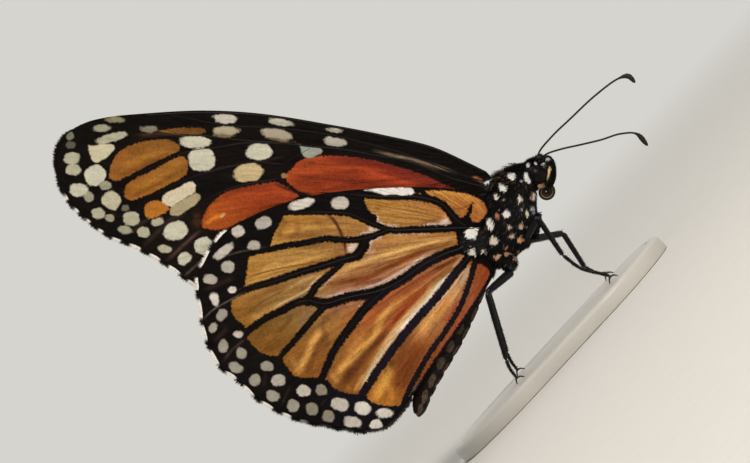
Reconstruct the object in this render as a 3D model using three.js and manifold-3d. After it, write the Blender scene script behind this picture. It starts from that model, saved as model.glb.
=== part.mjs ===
// A monarch butterfly at rest, life size, on a flat display base.
// Millimetres. +X is forward, +Y is the animal's left, +Z is up.
// The origin is the centre of the base's underside.
// The wings are closed over the back, so the butterfly is drawn mostly as a side view (x, z)
// with a distance y from the middle plane. Right-hand pieces have a negative y.
import * as THREE from "three";
import { mergeVertices } from "three/addons/utils/BufferGeometryUtils.js";
import Module from "manifold-3d";

const wasm = await Module();
wasm.setup();

// ---------------------------------------------------------------- driving dimensions
const BASE = { length: 34, width: 22, thick: 2, corner: 11 };
const FLOOR = BASE.thick + 0.02; // the feet stand this high, a hair clear of the base
const GAP = 0.06; // left between two pieces that meet
const RAISE = THREE.MathUtils.degToRad(47.1); // how far the closed wings lean up from level

const WING_THICK = 0.5;
const FOREWING_ROOT = { x: 8.35, z: 19.83 };
const HINDWING_ROOT = { x: 3.66, z: 16.4 };
const FOREWING_LENGTH = 50.5;
const TIP_GAP = 0.6; // from the middle plane to a forewing's tip
const ROOT_GAP = 2.2; // from the middle plane to a forewing's root
const WING_STEP = 0.62; // how far a hindwing lies outside the forewing that it covers

// ---------------------------------------------------------------- making shapes
const v3 = (x, y, z) => new THREE.Vector3(x, y, z);
const lerp = THREE.MathUtils.lerp;

// A closed geometry of three.js with each of its vertices sent to a new place, faces out.
function reshape(geometry, place) {
  geometry.deleteAttribute("normal");
  geometry.deleteAttribute("uv");
  const merged = mergeVertices(geometry, 1e-5);
  const position = merged.getAttribute("position");
  const point = new THREE.Vector3();
  for (let i = 0; i < position.count; i++) {
    const moved = place(point.fromBufferAttribute(position, i).clone());
    position.setXYZ(i, moved.x, moved.y, moved.z);
  }
  return facingOut(merged);
}

function facingOut(geometry) {
  const position = geometry.getAttribute("position");
  const index = geometry.getIndex().array;
  const [a, b, c] = [v3(), v3(), v3()];
  let volume = 0;
  for (let i = 0; i < index.length; i += 3) {
    a.fromBufferAttribute(position, index[i]);
    b.fromBufferAttribute(position, index[i + 1]);
    c.fromBufferAttribute(position, index[i + 2]);
    volume += a.dot(b.clone().cross(c));
  }
  if (volume < 0)
    for (let i = 0; i < index.length; i += 3)
      [index[i + 1], index[i + 2]] = [index[i + 2], index[i + 1]];
  return geometry;
}

// A round bar along a curve. radius(t) gives [across, deep] at t from 0 to 1.
function bar(points, radius, sides = 8, steps = 0) {
  const curve = new THREE.CatmullRomCurve3(points, false, "centripetal");
  const rings = steps || 3 * (points.length - 1);
  const frames = curve.computeFrenetFrames(rings);
  return reshape(new THREE.CylinderGeometry(1, 1, 1, sides, rings), (p) => {
    const t = 0.5 - p.y;
    const ring = Math.round(t * rings);
    const [across, deep] = radius(t);
    return curve
      .getPointAt(t)
      .addScaledVector(frames.normals[ring], p.x * across)
      .addScaledVector(frames.binormals[ring], p.z * deep);
  });
}

// A straight tapered rod between two points, round at both ends.
function rod(from, to, r0, r1, sides = 8) {
  const along = to.clone().sub(from);
  const length = along.length();
  const turn = new THREE.Quaternion().setFromUnitVectors(
    v3(0, -1, 0),
    along.clone().normalize(),
  );
  const body = new THREE.CapsuleGeometry(1, 2, 1, sides, 1);
  return reshape(body, (p) => {
    const low = p.y < 0;
    const r = low ? r1 : r0;
    const y = low ? -length + (p.y + 1) * r : (p.y - 1) * r;
    return v3(p.x * r, y, p.z * r).applyQuaternion(turn).add(from);
  });
}

// A long rounded body: each station is the centre (x, z) and the half height and half width there.
function hull(stations, grow = 0, sides = 24, rings = 20) {
  const keys = ["x", "z", "high", "wide"];
  const curves = keys.map(
    (key) =>
      new THREE.CatmullRomCurve3(
        stations.map((s, i) => v3(i, s[key], 0)),
        false,
        "catmullrom",
        0.5,
      ),
  );
  return reshape(new THREE.CylinderGeometry(1, 1, 1, sides, rings), (p) => {
    const t = THREE.MathUtils.clamp(0.5 - p.y, 0, 1);
    const [x, z, high, wide] = curves.map((c) => c.getPoint(t).y);
    const end = (t - 0.5) * 2 * grow;
    return v3(
      x + Math.sign(stations.at(-1).x - stations[0].x) * end,
      p.x * (wide + grow),
      z + p.z * (high + grow),
    );
  });
}

function ball(centre, radii, grow = 0, wide = 20, high = 14) {
  return reshape(new THREE.SphereGeometry(1, wide, high), (p) =>
    p
      .multiply(v3(radii.x + grow, radii.y + grow, radii.z + grow))
      .add(centre),
  );
}

// ---------------------------------------------------------------- solids
function solid(geometry) {
  return new wasm.Manifold(
    new wasm.Mesh({
      numProp: 3,
      vertProperties: new Float32Array(geometry.getAttribute("position").array),
      triVerts: new Uint32Array(geometry.getIndex().array),
    }),
  );
}

const fuse = (geometries) =>
  geometries.map(solid).reduce((all, one) => all.add(one));

const cut = (piece, tools) => tools.reduce((left, t) => left.subtract(t), piece);

// The largest body of a cut solid, as a geometry.
function keep(piece) {
  const whole = piece
    .decompose()
    .reduce((a, b) => (a.volume() > b.volume() ? a : b));
  const mesh = whole.getMesh();
  const position = new Float32Array(mesh.numVert * 3);
  for (let i = 0; i < mesh.numVert; i++)
    for (let k = 0; k < 3; k++)
      position[3 * i + k] = mesh.vertProperties[mesh.numProp * i + k];
  return new THREE.BufferGeometry()
    .setAttribute("position", new THREE.BufferAttribute(position, 3))
    .setIndex(new THREE.BufferAttribute(mesh.triVerts, 1));
}

// ---------------------------------------------------------------- materials
const material = (color, roughness) =>
  new THREE.MeshStandardMaterial({ color, roughness, metalness: 0 });
const MATERIAL = {
  cuticle: material("#16120f", 0.6),
  eye: material("#2b1a18", 0.3),
  forewing: material("#b4501c", 0.7),
  hindwing: material("#c98a3c", 0.7),
  stand: material("#c9c6be", 0.5),
};

// ---------------------------------------------------------------- wings
// Wing outlines are in the wing's own plane: a runs out from the root, b is up when a is level.
const FOREWING = {
  root: FOREWING_ROOT,
  lead: [
    [0, 1.15], [2.7, 2.35], [6.7, 4.2], [12, 5.55], [18.6, 6.85], [26.5, 8.1],
    [33.1, 8.45], [40, 8.1], [44, 7.7], [46.6, 7.1], [48.6, 6.2], [49.9, 5.1], [50.4, 4.2],
  ],
  trail: [
    [0.3, -1.4], [4, -3], [12, -6.6], [22, -10.6], [29, -13.3], [31.2, -13.6], [33.3, -12.2],
    [37.3, -9.2], [41, -7.1], [43.8, -6], [46.4, -4.1], [48.6, -2], [49.9, 0.3], [50.5, 3.2],
  ],
  notch: 0,
  outside: 0,
};
const HINDWING = {
  root: HINDWING_ROOT,
  lead: [
    [-0.35, 3.2], [1, 4.55], [4.7, 5.2], [8.3, 5.35], [11.3, 5.3], [15.8, 5], [20.5, 4.25],
    [24.5, 3.05], [27.1, 1.85], [29.8, 0.2], [31.6, -2], [32.9, -4.2],
  ],
  trail: [
    [-1.1, -4.2], [-0.45, -5.95], [1.65, -9], [5.5, -14.7], [8.6, -19.3], [10.2, -21.3],
    [11.6, -22.4], [14.3, -22.7], [16.9, -22.3], [21.8, -21.2], [26, -19], [28.3, -16.8],
    [30.4, -15.2], [32, -12], [32.6, -9], [33.1, -5.4],
  ],
  notch: 1.9,
  outside: WING_STEP,
};
const SPAN_STEPS = 32;
const CHORD_STEPS = 4;

const edge = (points) =>
  new THREE.CatmullRomCurve3(
    points.map(([a, b]) => v3(a, b, 0)),
    false,
    "centripetal",
  );

// A point of the wing's own plane as a point of the side view.
function fromWing(root, a, b) {
  const out = v3(-Math.cos(RAISE), 0, Math.sin(RAISE));
  const up = v3(Math.sin(RAISE), 0, Math.cos(RAISE));
  return v3(root.x, 0, root.z).addScaledVector(out, a).addScaledVector(up, b);
}

// How far from the middle plane the closed forewings lie, at a point of the side view.
function closedGap(x, z) {
  const r = Math.hypot(x - FOREWING_ROOT.x, z - FOREWING_ROOT.z);
  const left = Math.max(0, 1 - r / FOREWING_LENGTH);
  return TIP_GAP + (ROOT_GAP - TIP_GAP) * left ** 1.5;
}

function wing(spec, side, grow = 0) {
  const lead = edge(spec.lead);
  const trail = edge(spec.trail);
  const plate = new THREE.BoxGeometry(1, 1, 1, SPAN_STEPS, CHORD_STEPS, 1);
  return reshape(plate, (p) => {
    const s = p.x + 0.5;
    const t = p.y + 0.5;
    const flat = lead.getPointAt(s).lerp(trail.getPointAt(s), t);
    flat.x += spec.notch * Math.sin(Math.PI * t) * Math.max(0, 1 - 5 * s) ** 2;
    const at = fromWing(spec.root, flat.x, flat.y);
    const middle = closedGap(at.x, at.z) + spec.outside;
    at.y = side * (middle + 2 * p.z * (WING_THICK / 2 + grow));
    return at;
  });
}

// ---------------------------------------------------------------- body
const THORAX = [
  { x: 1.2, z: 14.6, high: 1.1, wide: 1.0 },
  { x: 2.2, z: 14.9, high: 2.7, wide: 1.9 },
  { x: 4.0, z: 15.6, high: 3.8, wide: 2.5 },
  { x: 6.2, z: 16.2, high: 4.4, wide: 2.8 },
  { x: 8.4, z: 16.5, high: 4.2, wide: 2.75 },
  { x: 10.2, z: 17.0, high: 3.25, wide: 2.3 },
  { x: 11.3, z: 17.2, high: 2.4, wide: 1.8 },
  { x: 12.1, z: 17.1, high: 1.2, wide: 1.1 },
];
const ABDOMEN = [
  { x: 2.4, z: 14.4, high: 1.2, wide: 1.1 },
  { x: 1.4, z: 14.2, high: 1.6, wide: 1.45 },
  { x: -0.5, z: 13.75, high: 1.85, wide: 1.7 },
  { x: -4, z: 12.5, high: 1.9, wide: 1.75 },
  { x: -8, z: 11.2, high: 1.8, wide: 1.7 },
  { x: -11.5, z: 10.2, high: 1.55, wide: 1.5 },
  { x: -14.2, z: 9.25, high: 1.3, wide: 1.25 },
  { x: -16, z: 8.4, high: 1.05, wide: 0.95 },
  { x: -16.8, z: 8.0, high: 0.65, wide: 0.55 },
];
const HEAD = { at: v3(12.95, 0, 16.6), radii: v3(1.75, 1.55, 1.95) };
const EYE = { x: 12.95, y: 1.15, z: 16.45, radii: v3(1.02, 0.85, 1.25) };

const thorax = (grow = 0) => hull(THORAX, grow, 24, 15);
const abdomen = (grow = 0) => hull(ABDOMEN, grow, 16, 22);
const head = (grow = 0) => ball(HEAD.at, HEAD.radii, grow, 18, 12);
const eye = (side, grow = 0) =>
  ball(v3(EYE.x, side * EYE.y, EYE.z), EYE.radii, grow, 14, 10);

// A palp rises from under the head and covers the face.
function palp(side, grow = 0) {
  const y = side * 0.75;
  const line = [v3(12.8, y, 14.6), v3(14.2, y, 15.3), v3(15.15, y, 16.3), v3(15.6, y * 0.8, 17.1)];
  return bar(line, (t) => {
    const r = lerp(0.5, 0.3, t ** 1.5) + grow;
    return [r, r];
  });
}

// The proboscis, coiled flat in the middle plane under the head.
const COIL = {
  x: 12.35, z: 14.45, outer: 0.88, inner: 0.3, tube: 0.17, turns: 1.5, points: 20,
  start: THREE.MathUtils.degToRad(60),
};
function proboscis() {
  const line = [];
  for (let i = 0; i <= COIL.points; i++) {
    const t = i / COIL.points;
    const angle = COIL.start - t * COIL.turns * 2 * Math.PI;
    const r = lerp(COIL.outer, COIL.inner, t);
    line.push(v3(COIL.x + r * Math.cos(angle), 0, COIL.z + r * Math.sin(angle)));
  }
  return bar(line, () => [COIL.tube, COIL.tube], 6, 30);
}

// ---------------------------------------------------------------- antennae
const ANTENNA = {
  antenna_right: [
    v3(14.3, -0.55, 17.7), v3(14.8, -0.65, 18.15), v3(17.2, -1.4, 18.35), v3(20.05, -2.3, 18.2),
    v3(23.8, -3.2, 17.95), v3(27.0, -4.0, 17.35), v3(28.0, -4.2, 16.7), v3(28.0, -4.3, 15.6),
  ],
  antenna_left: [
    v3(14.4, 0.55, 17.5), v3(15.3, 0.9, 17.4), v3(17.0, 2.0, 16.5), v3(18.7, 3.2, 15.35),
    v3(21.05, 5.0, 13.65), v3(23.2, 6.8, 12.4), v3(24.3, 7.8, 11.2), v3(24.0, 8.2, 9.4),
  ],
};
const ANTENNA_R = 0.25;
const CLUB_R = 0.42;
function antenna(points) {
  return bar(
    points,
    (t) => {
      const swell = THREE.MathUtils.smoothstep(t, 0.78, 0.92);
      const tip = 1 - 0.55 * THREE.MathUtils.smoothstep(t, 0.93, 1);
      const r = lerp(ANTENNA_R, CLUB_R, swell) * tip;
      return [r, r];
    },
    6,
    22,
  );
}

// ---------------------------------------------------------------- legs
// Each walking leg runs from the hip over the knee to the foot: its first point is the ankle, the
// rest are the joints of the foot, and the two claws reach out from the last along x.
const LEG = {
  hindleg_right: {
    hip: [v3(3.6, -1.0, 13.0), v3(2.6, -1.9, 11.15)],
    knee: v3(-1.1, -4.5, 11.7),
    foot: [v3(-5.25, -5.0, 4.85), v3(-5.7, -5.1, 3.8), v3(-5.9, -5.15, 2.6)],
    toes: [-0.5, 0.7],
  },
  midleg_right: {
    hip: [v3(6.2, -1.5, 12.5)],
    knee: v3(9.15, -3.2, 13.3),
    foot: [v3(7.95, -3.6, 8.25), v3(8.25, -3.8, 5.7), v3(9.25, -4.0, 3.8), v3(9.9, -4.1, 2.6)],
    toes: [-0.7, 0.6],
  },
  midleg_left: {
    hip: [v3(6.2, 1.5, 12.5)],
    knee: v3(10.1, 5.5, 9.6),
    foot: [v3(8.95, 6.4, 5.0), v3(9.5, 6.6, 3.4), v3(10.2, 6.8, 2.6)],
    toes: [-0.6, 0.6],
  },
  hindleg_left: {
    hip: [v3(3.6, 1.0, 13.0), v3(2.6, 1.9, 11.15)],
    knee: v3(-0.8, 4.9, 11.4),
    foot: [v3(-4.6, 5.7, 4.85), v3(-5.0, 5.9, 3.8), v3(-5.2, 6.0, 2.6)],
    toes: [-0.5, 0.7],
  },
};
const FEMUR_R = 0.34;
const TIBIA_R = 0.27;
const TARSUS_R = 0.25;
const CLAW_R = 0.25;

function leg({ hip, knee, foot, toes }) {
  const thigh = [...hip, knee];
  const sole = foot.at(-1);
  const claws = toes.map((reach) =>
    rod(sole, v3(sole.x + reach, sole.y, FLOOR + CLAW_R - 0.06), TARSUS_R, CLAW_R, 6),
  );
  const parts = [
    ...thigh.slice(1).map((end, i) => rod(thigh[i], end, FEMUR_R, FEMUR_R * 0.85, 8)),
    rod(knee, foot[0], TIBIA_R * 1.1, TIBIA_R, 8),
    ...foot.slice(1).map((end, i) => rod(foot[i], end, TARSUS_R, TARSUS_R, 6)),
    ...claws,
  ];
  // The floor planes a small flat under each claw.
  const under = new THREE.BoxGeometry(80, 80, 4).translate(0, 0, FLOOR - 2);
  return cut(fuse(parts), [solid(reshape(under, (p) => p))]);
}

// The short front leg is folded against the breast and doesn't walk.
function foreleg(side) {
  const knee = v3(7.4, side * 0.75, 11.85);
  return fuse([
    rod(v3(9.3, side * 0.75, 13.9), knee, 0.42, 0.34),
    rod(knee, v3(9.7, side * 1.2, 13.5), 0.32, 0.26),
  ]);
}

// ---------------------------------------------------------------- base
function standBase() {
  const { length, width, thick, corner } = BASE;
  const [x, y, r] = [length / 2, width / 2, corner];
  const outline = new THREE.Shape();
  outline.moveTo(x - r, -y);
  outline.absarc(x - r, -y + r, r, -Math.PI / 2, 0);
  outline.absarc(x - r, y - r, r, 0, Math.PI / 2);
  outline.absarc(-x + r, y - r, r, Math.PI / 2, Math.PI);
  outline.absarc(-x + r, -y + r, r, Math.PI, 1.5 * Math.PI);
  const plate = new THREE.ExtrudeGeometry(outline, {
    depth: thick,
    bevelEnabled: false,
    curveSegments: 10,
  });
  return reshape(plate, (p) => p);
}

// ---------------------------------------------------------------- the butterfly
const butterfly = new THREE.Group();
function add(name, geometry, finish) {
  const mesh = new THREE.Mesh(geometry, finish);
  mesh.name = name;
  butterfly.add(mesh);
}

const SIDES = { right: -1, left: 1 };
const grownWings = Object.values(SIDES).flatMap((side) =>
  [FOREWING, HINDWING].map((spec) => solid(wing(spec, side, GAP))),
);
const grownEyes = Object.values(SIDES).map((side) => solid(eye(side, GAP)));
const grownPalps = Object.values(SIDES).map((side) => solid(palp(side, GAP)));
const grownThorax = solid(thorax(GAP));
const grownHead = solid(head(GAP));

add("stand_base", standBase(), MATERIAL.stand);
add("thorax", keep(cut(solid(thorax()), grownWings)), MATERIAL.cuticle);
add("abdomen", keep(cut(solid(abdomen()), [grownThorax, ...grownWings])), MATERIAL.cuticle);
add("head", keep(cut(solid(head()), [grownThorax, ...grownEyes])), MATERIAL.cuticle);
add(
  "proboscis",
  keep(cut(solid(proboscis()), [grownThorax, grownHead, ...grownPalps])),
  MATERIAL.cuticle,
);
for (const [name, side] of Object.entries(SIDES)) {
  add("forewing_" + name, wing(FOREWING, side), MATERIAL.forewing);
  add("hindwing_" + name, wing(HINDWING, side), MATERIAL.hindwing);
  add("eye_" + name, keep(cut(solid(eye(side)), [grownThorax])), MATERIAL.eye);
  add(
    "palp_" + name,
    keep(cut(solid(palp(side)), [grownThorax, grownHead, ...grownEyes])),
    MATERIAL.cuticle,
  );
  add("foreleg_" + name, keep(cut(foreleg(side), [grownThorax])), MATERIAL.cuticle);
}
for (const [name, points] of Object.entries(ANTENNA))
  add(name, keep(cut(solid(antenna(points)), [grownHead, ...grownPalps])), MATERIAL.cuticle);
for (const [name, spec] of Object.entries(LEG))
  add(name, keep(cut(leg(spec), [grownThorax])), MATERIAL.cuticle);

export default butterfly;
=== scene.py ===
"""A monarch butterfly at rest with closed wings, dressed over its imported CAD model.

Lengths are in millimetres until a mesh is made, and x runs forwards, y to the animal's left, z up.
The closed wings lie almost flat beside the middle plane, so a wing's pattern is drawn in the
wing's own plane: a runs out from its root and b across it, towards the leading edge.
"""

import math

import bpy
import numpy as np
from mathutils import Matrix, Vector


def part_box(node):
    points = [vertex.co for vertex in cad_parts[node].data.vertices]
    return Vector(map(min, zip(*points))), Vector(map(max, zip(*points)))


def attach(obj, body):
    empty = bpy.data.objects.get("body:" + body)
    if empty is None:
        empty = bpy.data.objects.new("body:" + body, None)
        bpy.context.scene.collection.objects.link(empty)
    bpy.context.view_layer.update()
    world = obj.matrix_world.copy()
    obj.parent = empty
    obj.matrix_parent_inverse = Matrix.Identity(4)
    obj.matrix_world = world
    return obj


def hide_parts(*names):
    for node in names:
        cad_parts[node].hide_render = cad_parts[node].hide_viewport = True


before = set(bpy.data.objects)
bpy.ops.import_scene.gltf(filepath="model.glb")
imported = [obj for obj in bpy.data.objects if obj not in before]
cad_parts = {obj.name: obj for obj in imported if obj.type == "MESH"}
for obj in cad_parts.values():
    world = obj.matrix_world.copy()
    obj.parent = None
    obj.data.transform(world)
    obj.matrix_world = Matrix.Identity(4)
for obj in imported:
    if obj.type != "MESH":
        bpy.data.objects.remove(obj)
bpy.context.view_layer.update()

MM = 0.001
SIDES = {"right": -1, "left": 1}
rng = np.random.default_rng(11)

# ---------------- the animal's named sizes
LEAN = 47.1  # how far the closed wings lean up from level, in degrees
RAISE = math.radians(LEAN)
FOREWING_ROOT = (8.35, 19.83)
HINDWING_ROOT = (3.66, 16.4)
FOREWING_LENGTH = 50.5
TIP_GAP = 0.6  # middle plane to a forewing's tip
ROOT_GAP = 2.2  # middle plane to a forewing's root
WING_STEP = 0.62  # how far a hindwing lies outside the forewing that it covers
MEMBRANE = 0.12  # thickness of membrane and scales together
SCALLOP = 0.2  # how far the outer margin draws in between two vein ends
FRINGE = {"Spacing": 0.07, "Length": 0.5, "Thickness": 0.1, "Splay": 0.22}
FRINGE_GROWS_OVER = 16  # grid points from its front end to its full length
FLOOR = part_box("stand_base")[1].z / MM + 0.02  # the claws' tips, just above the base
PLEATS_PER_RADIAN = 24.0
PLEAT_GRAIN = 7.0  # length over which a pleat's streak changes
WING_STEPS = {"span": 280, "chord": 158}  # faces along a wing and across it


# ---------------- colours
def srgb(hex_colour):
    return np.array([int(hex_colour[i : i + 2], 16) / 255 for i in (1, 3, 5)])


def linear(colour):
    """Linear red, green and blue of an sRGB hex colour, or of an array of sRGB values."""
    values = srgb(colour) if isinstance(colour, str) else np.asarray(colour, float)
    return np.where(values <= 0.04045, values / 12.92, ((values + 0.055) / 1.055) ** 2.4)


def rgba(hex_colour):
    return (*linear(hex_colour), 1.0)


# ---------------- curves
def smooth_line(points, count):
    """Evenly spaced points along a smooth curve through the given ones."""
    p = np.asarray(points, float)
    p = np.vstack([2 * p[0] - p[1], p, 2 * p[-1] - p[-2]])
    knots = np.concatenate([[0], np.cumsum(np.linalg.norm(np.diff(p, axis=0), axis=1) ** 0.5)])
    pieces = []
    for i in range(1, len(p) - 2):
        t0, t1, t2, t3 = knots[i - 1 : i + 3]
        t = np.linspace(t1, t2, 14, endpoint=False)[:, None]
        a1 = ((t1 - t) * p[i - 1] + (t - t0) * p[i]) / (t1 - t0)
        a2 = ((t2 - t) * p[i] + (t - t1) * p[i + 1]) / (t2 - t1)
        a3 = ((t3 - t) * p[i + 1] + (t - t2) * p[i + 2]) / (t3 - t2)
        b1 = ((t2 - t) * a1 + (t - t0) * a2) / (t2 - t0)
        b2 = ((t3 - t) * a2 + (t - t1) * a3) / (t3 - t1)
        pieces.append(((t2 - t) * b1 + (t - t1) * b2) / (t2 - t1))
    dense = np.vstack([*pieces, p[-2:-1]])
    run = np.concatenate([[0], np.cumsum(np.linalg.norm(np.diff(dense, axis=0), axis=1))])
    at = np.linspace(0, run[-1], count)
    return np.column_stack([np.interp(at, run, column) for column in dense.T])


def route(points, count):
    """Evenly spaced points, straight between two given ones and smooth through more."""
    if len(points) > 2:
        return smooth_line(points, count)
    return np.linspace(points[0], points[1], count)


def closed_line(points, per_point):
    return smooth_line([*points, points[0]], per_point * len(points))


def unit(v):
    return v / np.maximum(np.linalg.norm(v, axis=-1, keepdims=True), 1e-12)


def ease(values, low, high):
    t = np.clip((values - low) / (high - low), 0, 1)
    return t * t * (3 - 2 * t)


# ---------------- pattern fields in a plane
def along_line(points, line):
    """Each point's distance to a line and its nearest place along it, from 0 to 1."""
    near = np.full(len(points), 1e9)
    place = np.zeros(len(points))
    steps = len(line) - 1
    for i in range(steps):
        start, step = line[i], line[i + 1] - line[i]
        offset = points - start
        t = np.clip(offset @ step / max(step @ step, 1e-12), 0, 1)
        gap = np.linalg.norm(offset - t[:, None] * step, axis=1)
        closer = gap < near
        near[closer] = gap[closer]
        place[closer] = (i + t[closer]) / steps
    return near, place


def in_window(points, outline):
    """How deep each point is inside a closed outline, negative outside."""
    inside = np.zeros(len(points), bool)
    x, y = points.T
    for (x0, y0), (x1, y1) in zip(outline[:-1], outline[1:], strict=True):
        crosses = (y0 > y) != (y1 > y)
        inside ^= crosses & (x < (x1 - x0) * (y - y0) / ((y1 - y0) or 1e-12) + x0)
    near, _ = along_line(points, outline)
    return np.where(inside, near, -near)


def in_spot(points, a, b, length, width, turn=0, power=2.3):
    """How deep each point is inside a rounded spot, negative outside."""
    c, s = math.cos(math.radians(turn)), math.sin(math.radians(turn))
    u = ((points[:, 0] - a) * c + (points[:, 1] - b) * s) / (length / 2)
    v = ((points[:, 1] - b) * c - (points[:, 0] - a) * s) / (width / 2)
    ring = (np.abs(u) ** power + np.abs(v) ** power) ** (1 / power)
    return (1 - ring) * min(length, width) / 2


# ---------------- meshes
def outward(verts, faces):
    """The faces of a closed shape, turned round if they point inwards."""
    v = np.asarray(verts)
    volume = 0.0
    for face in faces:
        for i in range(1, len(face) - 1):
            volume += np.dot(v[face[0]], np.cross(v[face[i]], v[face[i + 1]]))
    return faces if volume > 0 else [face[::-1] for face in faces]


def new_object(name, data):
    made = bpy.data.objects.new(name, data)
    bpy.context.scene.collection.objects.link(made)
    return made


def final_mesh(piece):
    """A plain mesh of what an object's modifiers make."""
    return bpy.data.meshes.new_from_object(piece.evaluated_get(bpy.context.evaluated_depsgraph_get()))


def make_piece(name, verts, faces, material, attributes=None, smooth=True):
    """An object from points in millimetres. Attributes hold a value or three for each point."""
    mesh = bpy.data.meshes.new(name)
    mesh.from_pydata((np.asarray(verts) * MM).tolist(), [], faces)
    mesh.update()
    for key, values in (attributes or {}).items():
        values = np.asarray(values, np.float32)
        kind, slot = ("FLOAT", "value") if values.ndim == 1 else ("FLOAT_VECTOR", "vector")
        mesh.attributes.new(key, kind, "POINT").data.foreach_set(slot, values.ravel())
    mesh.polygons.foreach_set("use_smooth", [smooth] * len(mesh.polygons))
    mesh.materials.append(material)
    return new_object(name, mesh)


def ring_faces(rings, sides):
    """Faces that join rings of points, each ring to the next."""
    faces = []
    for i in range(rings - 1):
        for k in range(sides):
            j = (k + 1) % sides
            faces.append((i * sides + k, i * sides + j, (i + 1) * sides + j, (i + 1) * sides + k))
    return faces


def pointed_ends(rings, sides):
    """Faces that close both open ends round a point each: the two points after the rings."""
    first, last = rings * sides, rings * sides + 1
    faces = []
    for k in range(sides):
        j = (k + 1) % sides
        faces.append((first, j, k))
        faces.append((last, first - sides + k, first - sides + j))
    return faces


def flat_ends(rings, sides):
    """One face across each open end."""
    last = (rings - 1) * sides
    return [tuple(range(sides))[::-1], tuple(range(last, last + sides))]


def tube(line, radii, sides):
    """A closed round bar along a line, as points and faces that point outwards."""
    line = np.asarray(line, float)
    radii = np.broadcast_to(radii, len(line))
    ahead = unit(np.gradient(line, axis=0))
    across = np.zeros_like(line)
    start = np.array([0.0, 1.0, 0.0]) if abs(ahead[0][1]) < 0.8 else np.array([1.0, 0.0, 0.0])
    for i, way in enumerate(ahead):
        start = start - way * (start @ way)
        start = start / np.linalg.norm(start)
        across[i] = start
    up = np.cross(ahead, across)
    angle = np.linspace(0, 2 * math.pi, sides, endpoint=False)[None, :, None]
    ring = across[:, None] * np.cos(angle) + up[:, None] * np.sin(angle)
    verts = (line[:, None] + ring * radii[:, None, None]).reshape(-1, 3)
    verts = np.vstack([verts, line[:1], line[-1:]])
    return verts, ring_faces(len(line), sides) + pointed_ends(len(line), sides)


def joined(parts):
    """Several (points, faces) shapes as one."""
    faces, count = [], 0
    for points, part_faces in parts:
        faces += [tuple(i + count for i in face) for face in part_faces]
        count += len(points)
    return np.vstack([points for points, _ in parts]), faces


def on_frame(piece, slot, *nodes):
    """Rides a piece on the one body, in place of the nodes that it stands for. The slot is not used."""
    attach(piece, "root")
    if nodes:
        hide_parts(*nodes)


# ---------------- building node trees
def add(tree, kind, inputs=None, out=0, **settings):
    """Adds a node with its settings, fills or links its inputs, and returns one of its outputs."""
    node = tree.nodes.new(kind)
    for key, value in settings.items():
        setattr(node, key, value)
    for key, value in (inputs or {}).items():
        if isinstance(value, bpy.types.NodeSocket):
            tree.links.new(value, node.inputs[key])
        else:
            node.inputs[key].default_value = value
    return node.outputs[out]


def new_finish(name, roughness, specular=0.5):
    """A material, its tree, its Principled shader and the point's place in millimetres."""
    material = bpy.data.materials.new(name)
    material.use_nodes = True
    tree = material.node_tree
    shader = tree.nodes["Principled BSDF"]
    shader.inputs["Roughness"].default_value = roughness
    shader.inputs["Specular IOR Level"].default_value = specular
    place = add(tree, "ShaderNodeTexCoord", out="Object")
    place = add(tree, "ShaderNodeVectorMath", {0: place, "Scale": 1 / MM}, operation="SCALE")
    return material, tree, shader, place


def finish_surface(tree, shader, colour, height, depth_mm, strength):
    """Gives a shader its colour, and its bump from a height that spans depth_mm."""
    tree.links.new(colour, shader.inputs["Base Color"])
    bump = {"Height": height, "Distance": depth_mm * MM, "Strength": strength}
    tree.links.new(add(tree, "ShaderNodeBump", bump), shader.inputs["Normal"])


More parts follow.
